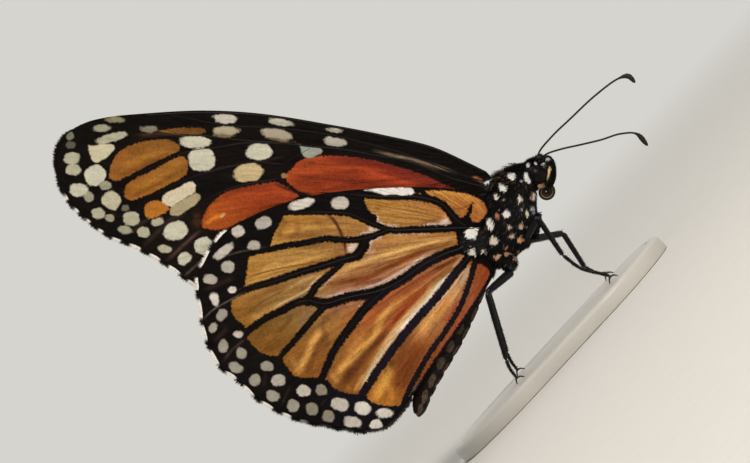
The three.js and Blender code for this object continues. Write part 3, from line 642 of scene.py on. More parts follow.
HINDWING = {
    "root": HINDWING_ROOT,
    "outside": WING_STEP,
    "white_fringe": 0.9,
    "white_from": 21,
    "fringe_rows": 52,
    "fringe_to": 8.4,
    "teeth": [
        (29.1, 0.75), (31.2, -1.5), (32.9, -4.4), (33.1, -7), (32.8, -10.2), (31.7, -12.8), (30.2, -15.5),
        (28.1, -17), (26.1, -19), (23.7, -20.2), (21.7, -21.3), (19.6, -21.8), (17, -22.3), (14.4, -22.8),
    ],
    "notch": 1.9,
    "fan_from": (-2, 0.5),
    "lead": [
        (-0.6, 2.9), (0.1, 4.1), (1.7, 4.85), (4.5, 5.25), (8.3, 5.4), (11.3, 5.3), (15.8, 5), (20.5, 4.25),
        (24.5, 3.05), (27.1, 1.85), (29.8, 0.2), (31.6, -2), (32.9, -4.2),
    ],
    "trail": [
        (-0.75, -3.7), (-1, -4.6), (-0.3, -6), (0.65, -7.6), (1.9, -9.5), (5.5, -14.7), (8.6, -19.3),
        (10.2, -21.3), (11.6, -22.4), (14.3, -22.7), (16.9, -22.3), (21.8, -21.2), (26, -19), (28.3, -16.8),
        (30.4, -15.2), (32, -12), (32.6, -9), (33.1, -5.4),
    ],
    "rear_from": 12,
    "veins": [
        (0.5, 0.35, 0.14, 0.06, (2.2, 0.9), (3.3, 1.7), (4, 2.5), (5.1, 3.55), (6.6, 4.05), (8.2, 4.3),
         (11.3, 4.3), (14.3, 4.45), (16.6, 4.7), (18.8, 4.75)),
        (0.2, 0.1, 0.07, 0.03, (2.3, 0.9), (2.1, 1.5), (1.8, 2.2), (1.55, 2.8), (1.5, 3.4), (1.35, 3.6)),
        (0.48, 0.3, 0.13, 0.05, (0.6, 0.6), (2.6, 0.7), (5.1, 0.6), (8, 0.5), (11, 0.5), (14, 1.7),
         (15.4, 2.3), (17.9, 2.5), (21.2, 2.5), (24, 2.3), (27, 1.6)),
        (0.42, 0.34, 0.08, 0.05, (11, 0.5), (13.7, -0.5), (16.6, -0.7), (17.9, -0.5), (20.5, -1),
         (23.1, -1.4), (27, -2.2), (29, -2.5), (32.2, -3.4)),
        (0.62, 0.62, 0.07, 0.07, (13.7, -0.5), (13.9, -1.4), (14.6, -2.5)),
        (0.52, 0.38, 0.1, 0.05, (14.6, -2.5), (16.5, -3), (19.1, -3.8), (21.8, -4.6), (24.4, -5.5),
         (27.1, -6.3), (29.7, -7.5), (32.5, -9.7)),
        (0.32, 0.48, 0.08, 0.08, (16.2, -3.2), (17.4, -4.3), (18.5, -5.2), (19.5, -6.2), (20, -7.2)),
        (0.6, 0.6, 0.15, 0.1, (0.8, -0.8), (2.6, -1.6), (4.8, -2.4), (7.4, -3.8), (9.2, -5.1), (11, -6.1),
         (12.7, -6.7), (15.3, -7.2), (16.5, -7.5), (18.1, -8), (19.1, -7.9), (20.3, -7.6)),
        (0.5, 0.34, 0.1, 0.05, (20.3, -7.6), (21.8, -8), (23.1, -8.7), (25.3, -9.8), (27.1, -11.1),
         (28.1, -12.2), (29.4, -13.6), (30.3, -15.1)),
        (0.42, 0.32, 0.08, 0.05, (18.4, -8.3), (19.5, -9.5), (20.8, -11), (22.1, -12.6), (23.5, -14.2),
         (24.8, -16.6), (25.9, -18.9)),
        (0.6, 0.34, 0.09, 0.05, (11.5, -6.5), (13.6, -8.4), (16.5, -12.2), (17.5, -13.8), (18.7, -16.5),
         (20.8, -19.2), (21.8, -21)),
        (0.5, 0.46, 0.1, 0.06, (0.9, -1.4), (1.9, -2.7), (3.9, -5.2), (4.7, -6.3), (5.6, -7.4), (6.6, -8.5),
         (7.6, -9.6), (8.7, -10.9), (9.8, -12.3), (10.7, -13.5), (11.5, -14.6), (12.3, -15.7), (13, -16.8),
         (13.7, -17.9), (14.6, -19.1), (15.6, -21), (16.2, -22)),
        (0.34, 0.32, 0.1, 0.06, (0.9, -1.6), (1.1, -3.1), (1.6, -5.1), (2.7, -8.1), (4.2, -10.7),
         (6.1, -13.4), (7.4, -15.6), (8.7, -18), (9.7, -20.6)),
        (0, 0, 0.04, 0.03, (18.2, 2.3), (17.4, 1.7), (16.7, 0.6), (16.3, -0.4), (16, -1.5), (15.9, -2.5)),
    ],
    "windows": [
        [(6.9, 4.95), (5.1, 5), (3.6, 4.85), (2.2, 4.6), (0.9, 4.15), (0, 3.4), (-0.3, 2.7), (-0.1, 2.2),
         (0.3, 1.7), (0.8, 1.35), (1.3, 1.45), (1.65, 1.9), (1.6, 2.4), (1.45, 2.8), (1.55, 3.5), (1.8, 3.1),
         (2.1, 2.4), (2.5, 2), (3.2, 1.8), (4.1, 3), (5.4, 3.95)],
        [(13.8, 4.1), (12.6, 4.6), (8.2, 4.8), (5.1, 3.4), (4.2, 1.9), (3.4, 0.4), (3.2, -0.6), (2.8, -2.2),
         (1.4, -3), (0.3, -3.5), (-0.4, -4), (-0.55, -4.6), (0.05, -5.8), (1, -7.4), (2.25, -9.3),
         (5.85, -14.5), (8.6, -18.6), (9.9, -19.7), (12.5, -19.5), (13.2, -19.1), (13.8, -18.4), (15, -18.4),
         (16, -18.2), (17.3, -17.7), (18, -16.8), (19.1, -16.5), (21.5, -16.4), (22.2, -15.9), (22.9, -14.9),
         (23.6, -14.1), (25.4, -13.8), (26.5, -12.9), (27.4, -11.7), (27.5, -10.7), (28.9, -9.3),
         (29.1, -8.4), (29, -7.5), (28.5, -6.8), (27.6, -6.1), (27.4, -5.1), (27.2, -3.9), (27, -2.6),
         (26.2, -2.1), (24.7, -1.6), (24.5, -1), (24, 0.3), (23.3, 1.5), (22.8, 2.4), (21.2, 2.6),
         (17.9, 2.5), (15.4, 2.3), (14, 1.7), (12.6, 1.3), (12.3, 1.9), (13, 2.5), (13.4, 3), (13.7, 3.6)],
    ],
    "spots": [
        (16.6, 3.6, 2.1, 1.6, 0, IVORY), (21.1, 3.4, 3.2, 1.2, -14, CHALK), (25.4, 1.3, 2, 1.5, -25, PEARL),
        (28.3, 0.3, 1.6, 1.4, -20, IVORY), (26.5, -1.3, 1.6, 1.2, -10, PEARL),
        (30, -2, 2.8, 1.2, -38, IVORY), (29.5, -3.8, 1.6, 1.5, 0, PEARL), (31.5, -5.2, 1.6, 1.3, 15, PEARL),
        (29, -6.4, 1, 0.9, 0, CHALK), (31, -7.5, 1.1, 1.7, -20, CHALK), (30.2, -9.3, 1.2, 1.5, 28, ASH),
        (31.2, -10.8, 1, 1.4, 28, "#a8a294"), (28.3, -11.5, 1.4, 0.9, 8, "#d4c8be"),
        (30, -12.9, 1.2, 1.6, 0, ASH), (27.9, -13.7, 1.5, 1.3, 40, ASH), (28.6, -15.3, 1.8, 1.2, 25, ASH),
        (25, -15.2, 1.5, 1.2, 10, ASH), (26.4, -16.8, 1.3, 1.6, 28, ASH), (23.7, -16.8, 1.7, 1.4, 0, PEARL),
        (24.3, -18.6, 1.7, 1.3, 20, ASH), (20.8, -18, 1.7, 1.4, 0, IVORY), (22, -19.7, 1.4, 1.5, 0, ASH),
        (18.7, -17.9, 1.4, 1.4, 0, DUN), (19.8, -20.1, 1.6, 1.5, 0, DUN), (17.9, -20.9, 1.6, 1.4, 0, DUN),
        (16.6, -19.6, 2.1, 1.6, 22, IVORY), (15.2, -21.6, 2.3, 1.3, 10, IVORY),
        (14, -20, 2.1, 1.5, 15, CHALK), (12.5, -21.9, 1.6, 1.2, 0, CHALK), (11.5, -20.6, 2.1, 1.2, 0, CHALK),
    ],
    "patches": [
        ("#f4eeea", (8.1, 4.65), (8.2, 5.2), (9.2, 5.35), (11, 5.3), (12.6, 5.3), (14.1, 5.02), (12.9, 4.85),
         (11.8, 4.55), (10.4, 4.42), (8.9, 4.4)),
    ],
    "ground_colour": "#b57e40",
    "reach": 2.6,
    "washes": [
        (9.1, 2.2, "#b98444"), (5.2, 2.2, "#b47c42"), (12.4, 3, "#b3803c"), (8.6, -1.5, "#b5854b"),
        (5, -0.8, "#b0773e"), (13, -3.2, "#b07848"), (12.6, -5.3, "#97603a"), (16.6, -5.6, "#a06c42"),
        (9.1, -7.6, "#b3602f"), (12.4, -10, "#ab5a30"), (6, -5.4, "#b2673c"), (15.4, -14.6, "#8a5426"),
        (16, -16.8, "#7e4c22"), (13.4, -12.8, "#b87834"), (0.6, -6, "#963e1e"), (2.4, -10, "#943a1c"),
        (5.1, -13.6, "#94421f"), (7.4, -18, "#8a4a20"), (4, -6.4, "#d4a878"), (6.4, -10.4, "#cf9a60"),
        (8.6, -13.3, "#8a4f24"), (9.6, -16, "#7c461e"), (11.4, -18.5, "#b8782f"), (22.9, -11, "#7d5a28"),
        (20.6, -8.8, "#88683a"), (25.2, -12.4, "#80541f"), (20, -13.9, "#965d28"), (18.6, -10.4, "#a47238"),
        (22, -15, "#985f27"), (22.9, -3.9, "#ac8044"), (19, -2.4, "#a6763e"), (26.3, -4.6, "#be873e"),
        (20, 0.7, "#ad7e3e"), (17, -0.2, "#a67644"), (23, 0.4, "#b8863e"), (24.6, -7.6, "#936f3e"),
        (21.4, -6.2, "#946d44"), (27.6, -9.6, "#936226"), (3.6, 4.5, "#cc8a3e"), (1, 3.4, "#c47c38"),
        (0.4, 2.2, "#b8683a"),
    ],
    # Pigment, and painted light and shade: lit sides of pleats paler, shaded sides and creases darker.
    "strokes": [
        (0.15, 0.45, "#8a5a2c", (6, 2.6), (9.5, 3.3), (12.6, 3.6)),
        (0.15, 0.4, "#d0a060", (5.4, 1.9), (9.5, 2.4), (13, 2.9)),
        (0.3, 0.7, "#d4a458", (17.5, -2.2), (22.5, -3.6), (25.9, -4.7), (27.1, -5.4)),
        (0.12, 0.6, "#7a4f24", (17.2, -1.5), (21.5, -2.3), (26.4, -3.2)),
        (0.3, 0.6, "#cc9a50", (15.2, 0.8), (20.2, 0.8), (23.6, 0.1)),
        (0.13, 0.5, "#80552a", (17, 1.6), (20.6, 1.7), (23.4, 1.2)),
        (0.2, 0.6, "#80552a", (19.3, -0.2), (22.9, -0.4)),
        (0.36, 0.6, "#c08e4a", (21.1, -6.5), (24.8, -8.6), (27, -10.1)),
        (0.3, 0.6, "#5e3d1c", (22, -9.5), (24.3, -12)),
        (0.35, 0.45, "#b08038", (20.2, -8.8), (21.1, -11), (23.1, -13.8)),
        (0.42, 0.85, "#dfa758", (18.2, -10.5), (19.3, -11.7), (19.8, -12.6), (20.3, -13.8), (20.9, -14.8),
         (21.4, -16.1)),
        (0.36, 0.8, "#74481f", (18.2, -11.5), (18.7, -12.4), (19.3, -13.5), (19.9, -14.8), (20.4, -16)),
        (0.17, 0.95, "#42190e", (18.2, 2.3), (17.4, 1.7), (16.7, 0.6), (16.3, -0.4), (16, -1.5),
         (15.9, -2.5)),
        (0.5, 0.85, "#974f2e", (3.5, -2.8), (5.1, -3.8), (7, -5), (9.3, -6.4), (11.7, -8.1), (13.1, -9.5)),
        (0.48, 0.9, "#e4aa57", (9.3, -7.4), (11.5, -9.1), (12.7, -11.8), (14.4, -13.5), (15.4, -14.5),
         (16.3, -15.3), (16.9, -16.4), (17.3, -17.4)),
        (0.14, 0.85, "#c05a2c", (7.4, -6.5), (8.6, -7.6), (10.3, -9)),
        (0.28, 0.9, "#96421c", (6.2, -5.7), (7.4, -6.9), (9.3, -8.7), (11, -10.9)),
        (0.46, 0.9, "#69381c", (10.8, -10.8), (12.3, -12.4), (13.4, -13.7), (14.6, -15.2), (15.7, -16.5),
         (16.4, -17.7)),
        (0.24, 0.6, "#86622f", (15.9, -12.4), (16.8, -13.7), (17.8, -15.6)),
        (0.22, 0.85, "#cf9a54", (13.8, -16), (14.4, -17), (15, -18.2)),
        (0.32, 0.85, "#e0b67e", (4.2, -4.5), (5.3, -5.4), (7.1, -7.5), (9, -9.5), (10.2, -10.9),
         (11.2, -12.3), (12.6, -14.6), (13.9, -16.8), (14.4, -17.9)),
        (0.26, 0.95, "#fdf3e0", (2.8, -2.9), (3.5, -3.8), (3.7, -4.4), (4.8, -5.4), (5.7, -6.4), (6.5, -7.5),
         (7.5, -8.5), (8.5, -9.6), (9.6, -10.9), (10.7, -12.2)),
        (0.24, 0.9, "#dccaa4", (10.1, -11.6), (11.6, -13.5), (12.3, -14.6), (13, -15.7), (13.6, -16.8),
         (14.1, -17.8)),
        (0.55, 0.8, "#e8aa60", (3.1, -6.1), (4.2, -7.8), (5.4, -9.1), (6.5, -10.1), (7.6, -11.7)),
        (0.3, 0.8, "#d2a870", (1.8, -3.7), (2.3, -5), (3.1, -6.4), (3.9, -7.8)),
        (0.13, 0.8, "#ecc89c", (2, -3.6), (2.8, -4.8), (3.8, -6.2), (5, -7.5), (6.3, -9)),
        (0.22, 0.7, "#a8503a", (3.1, -7.3), (3.6, -8.8), (4.6, -10)),
        (0.8, 0.8, "#7a3e1c", (7, -12.7), (8.3, -14), (9.3, -15.7), (9.8, -17.9)),
        (0.65, 0.9, "#dda048", (10.8, -15.2), (11.3, -16.4), (12.1, -17.9), (12.6, -18.9)),
        (0.35, 0.8, "#c88230", (10.9, -17.3), (10.6, -19.2)),
        (0.3, 0.85, "#6a5646", (7.8, -17.1), (8.5, -18.8)),
        (0.3, 0.6, "#9e6826", (22.5, 1.9), (20.4, 2), (18.8, 1.9)),
        (0.34, 0.9, "#e8d3c4", (13.4, 0.6), (12.2, 0.6)),
        (0.5, 0.95, "#e8d2be", (15, -1), (15.5, -2.1)),
        (0.5, 0.5, "#c89a54", (26.9, -3.2), (24.3, -2.8), (21, -2.3), (17.7, -1.9)),
        (0.09, 0.9, "#6a4014", (27.2, -5), (25.4, -4.4), (23.2, -3.9), (20.4, -3.4), (18.2, -3)),
        (0.16, 0.8, "#e2b060", (27.3, -5.7), (25.4, -5.2), (23.2, -4.5), (21.5, -4)),
        (0.08, 0.8, "#6a4820", (28, -9.8), (25.4, -7.7), (23.7, -6.8), (22.1, -6.1), (19.9, -5.1)),
        (0.18, 0.65, "#dcae66", (22.9, -6.5), (21.5, -5.7), (19.9, -5), (18.4, -4.5)),
        (0.14, 0.85, "#e0c096", (18.1, -4.5), (19.1, -5), (20.3, -6.3), (21.2, -6.9), (23.2, -7.9),
         (24.5, -8.7)),
        (0.4, 0.9, "#dcae6a", (17.5, -5), (15.7, -3.9), (13.4, -3), (10, -2), (6.6, -1.1), (3.4, -0.4)),
        (0.08, 0.7, "#7c4a22", (13.1, -4), (11.7, -3.5), (10.3, -3.1), (8.4, -2.6), (6.5, -1.9),
         (4.6, -1.4)),
        (0.08, 0.7, "#8a5426", (11.1, -2.5), (7.7, -1.7), (5.5, -1.1)),
        (0.3, 0.9, "#7c3f1d", (17.9, -5.9), (15.7, -5.4), (13.4, -5), (11.6, -4.1), (10, -3.3), (7.7, -2.2),
         (5.4, -1.3)),
        (0.14, 0.7, "#dc9c64", (18.2, -5.2), (16.1, -4.7), (13.8, -4), (11.1, -3), (8.9, -2.2)),
        (0.34, 0.75, "#c8927a", (18.9, -7.1), (16.6, -6.6), (14.3, -6.1), (12, -5.2), (10, -4.3),
         (7.7, -3.2), (5.9, -2.2)),
        (0.15, 0.9, "#e4cdba", (19.1, -7.2), (16.8, -7), (14.5, -6.6), (13.1, -6), (11.6, -5.4),
         (10.1, -4.6), (8.6, -3.6), (7.1, -2.6), (5.9, -2), (5, -1.5)),
        (0.2, 0.85, "#e4ccb8", (13.3, -1.2), (12.8, -0.6), (12, -0.3)),
        (0.6, 0.65, "#bc805c", (14.1, -7.6), (16.1, -8.3), (17.9, -9.2)),
        (0.4, 0.9, "#e8d2c8", (4.4, 1.9), (4.5, 1.4), (5.1, 1.15)),
        (0.3, 0.7, "#dcc0b0", (12.4, 2.1), (12.9, 2.6)),
        (0.55, 0.8, "#dc9a4c", (6.6, 4.95), (5.1, 4.8), (3, 4.5), (1.5, 4), (0.7, 3.4), (0.3, 2.9)),
        (0.12, 0.7, "#8a4a30", (4.1, 3.1), (3, 2.9), (2, 3.2), (1.6, 3.5)),
        (0.3, 0.4, "#dd9a54", (0.9, 3.5), (0.4, 2.5), (0.7, 1.6)),
        (0.28, 0.85, "#64381e", (6, -4.1), (4.4, -3.5), (3, -2.7)),
        (0.35, 0.75, "#946028", (6.3, -5.6), (4.9, -4.7), (3.3, -3.6)),
        (0.2, 0.7, "#7c4c22", (6.3, -1.8), (4.9, -1.4), (3.7, -0.8)),
        (0.28, 0.8, "#c8ae92", (1.8, -3.7), (2.2, -4.8), (2.8, -6)),
        (0.4, 0.6, "#da9550", (4, -7.5), (4.9, -8.9), (5.6, -9.8)),
        (0.35, 0.7, "#a0692d", (12.9, 2.2), (12.3, 2.9), (11.8, 3.3)),
        (0.25, 0.7, "#8a5728", (7.2, 1.5), (6.2, 1.4), (5.3, 1.7)),
        (0.45, 0.65, "#885a2b", (22.9, 2.1), (23.3, 0.8), (23.8, -0.4)),
        (0.35, 0.5, "#91592a", (21.6, 1.6), (21.5, 0.3), (22.2, -0.6)),
        (0.35, 0.6, "#96672f", (19.7, 2), (18.6, 0.9), (17.6, 0.6)),
        (0.25, 0.6, "#7c5832", (21.4, -1.5), (19.7, -1.35), (18, -1.2)),
        (0.25, 0.7, "#d2a260", (25.6, -4.1), (24.4, -3.5), (23.2, -3.2)),
        (0.22, 0.7, "#b8987a", (12.7, -1.6), (13, -2.3), (13.4, -2.9)),
        (0.28, 0.75, "#80452c", (11.6, -5.1), (12.5, -5.4), (14.3, -5.7), (15.2, -6.1)),
        (0.35, 0.7, "#7c5226", (27.8, -7.9), (25.8, -7.1), (24.3, -6.4), (22.7, -5.9)),
        (0.28, 0.8, "#cfa06a", (21.5, -5.6), (20.4, -5.2), (19.5, -4.8)),
        (0.3, 0.8, "#b88a4c", (26.6, -9.3), (26, -9.7), (25.3, -10)),
        (0.35, 0.7, "#7c4f34", (15.6, -8.1), (16.4, -8.3), (17.6, -9.2)),
        (0.28, 0.7, "#964a26", (12.2, -9.1), (11.6, -8.5), (10.9, -7.9)),
        (0.25, 0.6, "#7d3018", (10.4, -10), (9.8, -9.4), (9.1, -8.8)),
        (0.4, 0.8, "#b88646", (22.1, -14.2), (21.6, -15.2), (21.3, -15.9)),
        (0.3, 0.85, "#c99048", (17.6, -16), (17.2, -16.6), (16.9, -17.1)),
        (0.35, 0.8, "#a86a2c", (15.9, -17.5), (15.4, -18)),
        (0.35, 0.7, "#c28646", (15.7, -13.9), (14.7, -12.5), (13.6, -11.8)),
        (0.35, 0.8, "#d68f3a", (12.5, -18.6), (12.1, -19)),
        (0.25, 0.8, "#dc9e4c", (11.5, -16.9), (11.2, -17.4), (11, -17.9)),
        (0.3, 0.7, "#7a5430", (11.7, -15.3), (11.2, -15.9)),
        (0.3, 0.6, "#653c1e", (11, -14.4), (10.4, -15.2)),
        (0.35, 0.7, "#94642c", (25.2, -12.2), (24.2, -11.8), (23.2, -11.4)),
        (0.4, 0.7, "#7f644a", (21.4, -10.9), (20.4, -9.3), (19.5, -8.5)),
        (0.35, 0.6, "#74492a", (18.9, -13.7), (18.1, -12.5), (18.6, -10.2), (17.3, -8.9)),
    ],
    "dark_colour": "#0f0b0a",
    # The thin paler strokes along veins across the black border are painted highlights on raised veins.
    "dark_strokes": [
        (0.3, 0.7, "#3d2c22", (32.2, -6.5), (30.3, -5.6), (28.8, -5)),
        (0.1, 0.85, "#756860", (32.4, -9.9), (31.3, -8.8), (30, -8), (28.7, -7.3), (27.5, -6.6)),
        (0.3, 0.7, "#3d2b27", (31.1, -12.4), (30.3, -11.6), (29.5, -10.7)),
        (0.16, 0.75, "#4e403b", (30, -14.6), (29.1, -13.4), (28, -12.5), (27.5, -12)),
        (0.12, 0.7, "#574a44", (31, -2.9), (27.9, -2), (24.7, -1.4)),
        (0.2, 0.6, "#302528", (25.1, -15.9), (25.4, -17.5)),
        (0.15, 0.6, "#3a3230", (22.3, -17.4), (23.3, -19.7)),
        (0.15, 0.6, "#3a3230", (18.2, -18.9), (18.8, -19.7)),
    ],
    # The four bluish washes are a painted sheen on the black.
    "dark_washes": [
        (4.5, -6.4, "#1d1825"), (8.2, -10.2, "#1d1825"), (11.3, -14.4, "#1b1622"), (14, -18, "#16121b"),
        (1.2, -1, "#0d0a09"), (28, -8, "#130e0d"), (26, -15, "#15100e"), (10, 0.5, "#0e0b09"),
    ],
    "dust": [
        (0.6, 0.95, (4.2, 1.9), (4.4, 1.4), (5.3, 1.15), (7.2, 1.15)),
        (0.4, 0.5, (7.2, 1.15), (9.5, 1.1)),
        (0.45, 0.85, (9.6, 1.1), (11.4, 1.3), (13, 2.2)),
        (0.6, 0.95, (12.2, 0.75), (13.6, 0.1), (14.4, 0.2)),
        (0.6, 0.95, (14.8, -0.9), (15.3, -2)),
        (0.4, 0.6, (5.2, -0.05), (9.5, -0.1), (11.5, -0.2)),
        (0.6, 0.9, (11.5, -0.3), (12.6, -1.3), (13.5, -2.6)),
        (0.5, 0.7, (3.6, -1.7), (7.7, -3.65), (10, -4.8), (13.4, -6.1), (16.1, -6.8), (19.1, -7.2)),
        (0.5, 0.7, (16.5, -4.6), (18.2, -5.9), (19, -6.9)),
        (0.5, 0.6, (13, -7.9), (15.4, -8.4), (17.6, -8.9)),
        (0.4, 0.4, (17.4, 2.3), (20.5, 2.2), (23, 2.1)),
    ],
    "root_dust_and_highlight": [
        (0.7, 0.42, (0.4, 0.2), (1.6, -0.6), (0.6, -1.6)),
    ],
    "crests": [
        (0.2, 0.5, (4.5, -1), (8.8, -2.1), (12.8, -3.2), (16.2, -4.3), (18.1, -5.9)),
        (0.15, 0.4, (17.6, -2.5), (22.5, -3.8), (26.6, -5.1)),
        (0.12, 0.45, (15.4, 0.4), (20.2, 0.3), (23.4, -0.2)),
        (0.14, 0.5, (21.4, -7), (24.6, -9.2), (26.8, -10.8)),
        (0.12, 0.5, (20.6, -9), (22, -11.6), (23.6, -13.4)),
        (0.14, 0.5, (18.3, -10.6), (19.6, -13.2), (21.2, -15.8)),
        (0.16, 0.5, (13.2, -11.2), (15, -14), (16.8, -17)),
        (0.16, 0.4, (5.8, -4.4), (9.2, -7.6), (12.4, -10.2)),
        (0.1, 0.5, (4, -5.2), (8, -10.2), (11, -14.8)),
        (0.1, 0.6, (5.5, 2.6), (9.4, 3), (12.6, 3.4)),
        (0.14, 0.5, (0.6, 3.6), (3.2, 4.5), (5.6, 4.9)),
    ],
}


# ---------------- wings
def to_model(wing, flat):
    """Points of a wing's plane as x and z of the model."""
    a, b = flat.T
    x = wing["root"][0] - a * math.cos(RAISE) + b * math.sin(RAISE)
    z = wing["root"][1] + a * math.sin(RAISE) + b * math.cos(RAISE)
    return x, z


def closed_gap(x, z):
    """How far from the middle plane the closed forewings lie."""
    run = np.hypot(x - FOREWING_ROOT[0], z - FOREWING_ROOT[1])
    return TIP_GAP + (ROOT_GAP - TIP_GAP) * np.maximum(0, 1 - run / FOREWING_LENGTH) ** 1.5


def flat_wing(wing):
    """The wing's outline filled with rows of points across it, in its plane."""
    rows, columns = WING_STEPS["span"] + 1, WING_STEPS["chord"] + 1
    lead = smooth_line(wing["lead"], rows)
    trail = smooth_line(wing["trail"], rows)
    s, t = np.meshgrid(np.linspace(0, 1, rows), np.linspace(0, 1, columns), indexing="ij")
    flat = lead[:, None] * (1 - t[..., None]) + trail[:, None] * t[..., None]
    flat[..., 0] += wing["notch"] * np.sin(math.pi * t) ** 2 * np.maximum(0, 1 - 5 * s) ** 2
    return draw_in_margin(wing, flat.reshape(-1, 2), s.ravel(), t.ravel())


def draw_in_margin(wing, flat, s, t):
    """Scallops the outer margin: it draws in a little between the teeth where veins end."""
    tip = ease(s, 0.9, 1.0)
    rear = ease(t, 0.9, 1.0) * ease(flat[:, 0], 0.3, wing["rear_from"])
    middle = np.array([0.45 * wing["lead"][-1][0], -3.0])
    pull = SCALLOP * (1 - np.exp(-((from_teeth(wing, flat) / 0.7) ** 2))) * np.maximum(tip, rear)
    return flat + unit(middle - flat) * pull[:, None]


def from_teeth(wing, flat):
    """Each point's distance to the nearest tooth of the outer margin."""
    return np.min(np.linalg.norm(flat[:, None] - np.array(wing["teeth"])[None], axis=2), axis=1)


def washed(points, base, washes, reach):
    """One smooth colour field from colours set about a few points, as sRGB values."""
    total = np.full(len(points), 0.05)
    colour = np.outer(total, srgb(base))
    for a, b, shade in washes:
        weight = np.exp(-((points[:, 0] - a) ** 2 + (points[:, 1] - b) ** 2) / reach**2)
        total += weight
        colour += np.outer(weight, srgb(shade))
    return colour / total[:, None]


def stroke_weight(points, line, half, strength):
    """How strong a soft stroke is at each point: full on its line, faint at its ends."""
    near, place = along_line(points, smooth_line(line, 5 * len(line)))
    ends = np.clip(np.minimum(place, 1 - place) * 6, 0, 1)
    return strength * np.exp(-((near / half) ** 2.6)) * (0.25 + 0.75 * ends)


def stroked(points, colour, strokes):
    """The colour field with strokes laid over it, each over those before."""
    for half, strength, shade, *line in strokes:
        weight = stroke_weight(points, line, half, strength)[:, None]
        colour = colour * (1 - weight) + srgb(shade) * weight
    return colour


def black_field(wing, points):
    """How deep each point is in the black about the windows and along the veins."""
    depth = -np.max([in_window(points, closed_line(w, 4)) for w in wing["windows"]], axis=0)
    for root_half, end_half, _, _, *line in wing["veins"]:
        if root_half:
            near, place = along_line(points, smooth_line(line, 5 * len(line)))
            depth = np.maximum(depth, root_half + (end_half - root_half) * place - near)
    return depth


def pale_field(wing, points):
    """Depth inside the pale spots, and the colour of the nearest one."""
    depth = np.full(len(points), -9.0)
    colour = np.tile(srgb("#c8beb0"), (len(points), 1))
    fields = [(in_spot(points, *spot[:5]), spot[5]) for spot in wing["spots"]]
    fields += [(in_window(points, closed_line(p, 5)), shade) for shade, *p in wing["patches"]]
    for inside, shade in fields:
        closer = inside > depth
        depth[closer] = inside[closer]
        colour[closer] = srgb(shade)
    return depth, colour


def under_side(wing, points):
    """The markings on the side of the wing that shows when the wings are closed."""
    ground = washed(points, wing["ground_colour"], wing["washes"], wing["reach"])
    ground = stroked(points, ground, wing["strokes"])
    black = black_field(wing, points)
    dust = np.zeros(len(points))
    for half, strength, *line in wing["dust"]:
        dust = np.maximum(dust, stroke_weight(points, line, half, strength))
    dust *= np.exp(-((np.minimum(black + 0.08, 0) / 0.3) ** 2))
    # Root lines, on the black too: on the forewing a painted highlight along the subcostal vein.
    for half, strength, *line in wing["root_dust_and_highlight"]:
        dust = np.maximum(dust, stroke_weight(points, line, half, strength))
    dark = washed(points, wing["dark_colour"], wing["dark_washes"], DARK_REACH)
    dark = stroked(points, dark, wing["dark_strokes"])
    white_depth, pale = pale_field(wing, points)
    return {
        "ground": linear(ground),
        "dark": linear(dark),
        "pale": linear(pale),
        "black_depth": black,
        "white_depth": white_depth,
        "dust": dust,
    }


def upper_side(points, under):
    """The hidden inner face: the same black pattern on a much brighter, evener orange."""
    out = ease(np.hypot(*points.T), 2.0, 26.0)[:, None]
    ground = srgb("#b4501a") * (1 - out) + srgb("#d97a22") * out
    pale = np.tile(srgb("#e6dccb"), (len(points), 1))
    inner = {"ground": linear(ground), "pale": linear(pale), "dust": under["dust"] * 0}
    return {**under, **inner, "fan": under["fan"] + (0, 0, 5.0)}


def pleat_fan(wing, points):
    """Where each point lies on the fan of pleats: which pleat, and how far out along it."""
    offset = points - np.array(wing["fan_from"])
    pleat = np.arctan2(offset[:, 1], offset[:, 0]) * PLEATS_PER_RADIAN
    return np.column_stack([pleat, np.hypot(*offset.T) / PLEAT_GRAIN, np.zeros(len(points))])


def wing_relief(wing, points):
    """How far the membrane stands out between its veins and along its pleats."""
    veins = [smooth_line(line, 4 * len(line)) for _, _, _, _, *line in wing["veins"]]
    near = np.min([along_line(points, vein)[0] for vein in veins], axis=0)
    height = 0.1 * (1 - np.exp(-((near / 1.3) ** 2)))
    for rise, half, *line in wing["crests"]:
        height += stroke_weight(points, line, half, rise)
    return height


def wing_shell(wing, flat, middle, side):
    """A thin closed shell: outer face, inner face and the rim that joins them."""
    rows, columns = WING_STEPS["span"] + 1, WING_STEPS["chord"] + 1
    x, z = to_model(wing, flat)
    outer = np.column_stack([x, side * (middle + MEMBRANE / 2), z])
    inner = np.column_stack([x, side * (middle - MEMBRANE / 2), z])
    count = rows * columns
    index = np.arange(count).reshape(rows, columns)
    quads = np.stack([index[:-1, :-1], index[1:, :-1], index[1:, 1:], index[:-1, 1:]], axis=-1)
    quads = quads.reshape(-1, 4)
    rim = np.concatenate([index[:, 0], index[-1, 1:], index[-2::-1, -1], index[0, -2:0:-1]])
    following = np.roll(rim, -1)
    walls = np.stack([following, rim, rim + count, following + count], axis=-1)
    faces = np.concatenate([quads, quads[:, ::-1] + count, walls])
    if side > 0:
        faces = faces[:, ::-1]
    return np.vstack([outer, inner]), faces.tolist()


def build_wing(kind, wing, finishes):
    """Both wings of a pair: membrane, veins and fringe."""
    flat = flat_wing(wing)
    under = under_side(wing, flat)
    under["fan"] = pleat_fan(wing, flat)
    upper = upper_side(flat, under)
    marks = {key: np.concatenate([under[key], upper[key]]) for key in under}
    middle = closed_gap(*to_model(wing, flat)) + wing["outside"] + wing_relief(wing, flat)
    for name, side in SIDES.items():
        verts, faces = wing_shell(wing, flat, middle, side)
        membrane = make_piece(f"{kind}_{name}_membrane", verts, faces, finishes["scales"], marks)
        on_frame(membrane, kind, f"{kind}_{name}")
        on_frame(vein_piece(f"{kind}_{name}_veins", wing, side, finishes["vein"]), kind)
        on_frame(fringe_piece(f"{kind}_{name}_fringe", wing, side, finishes["fringe"]), kind)


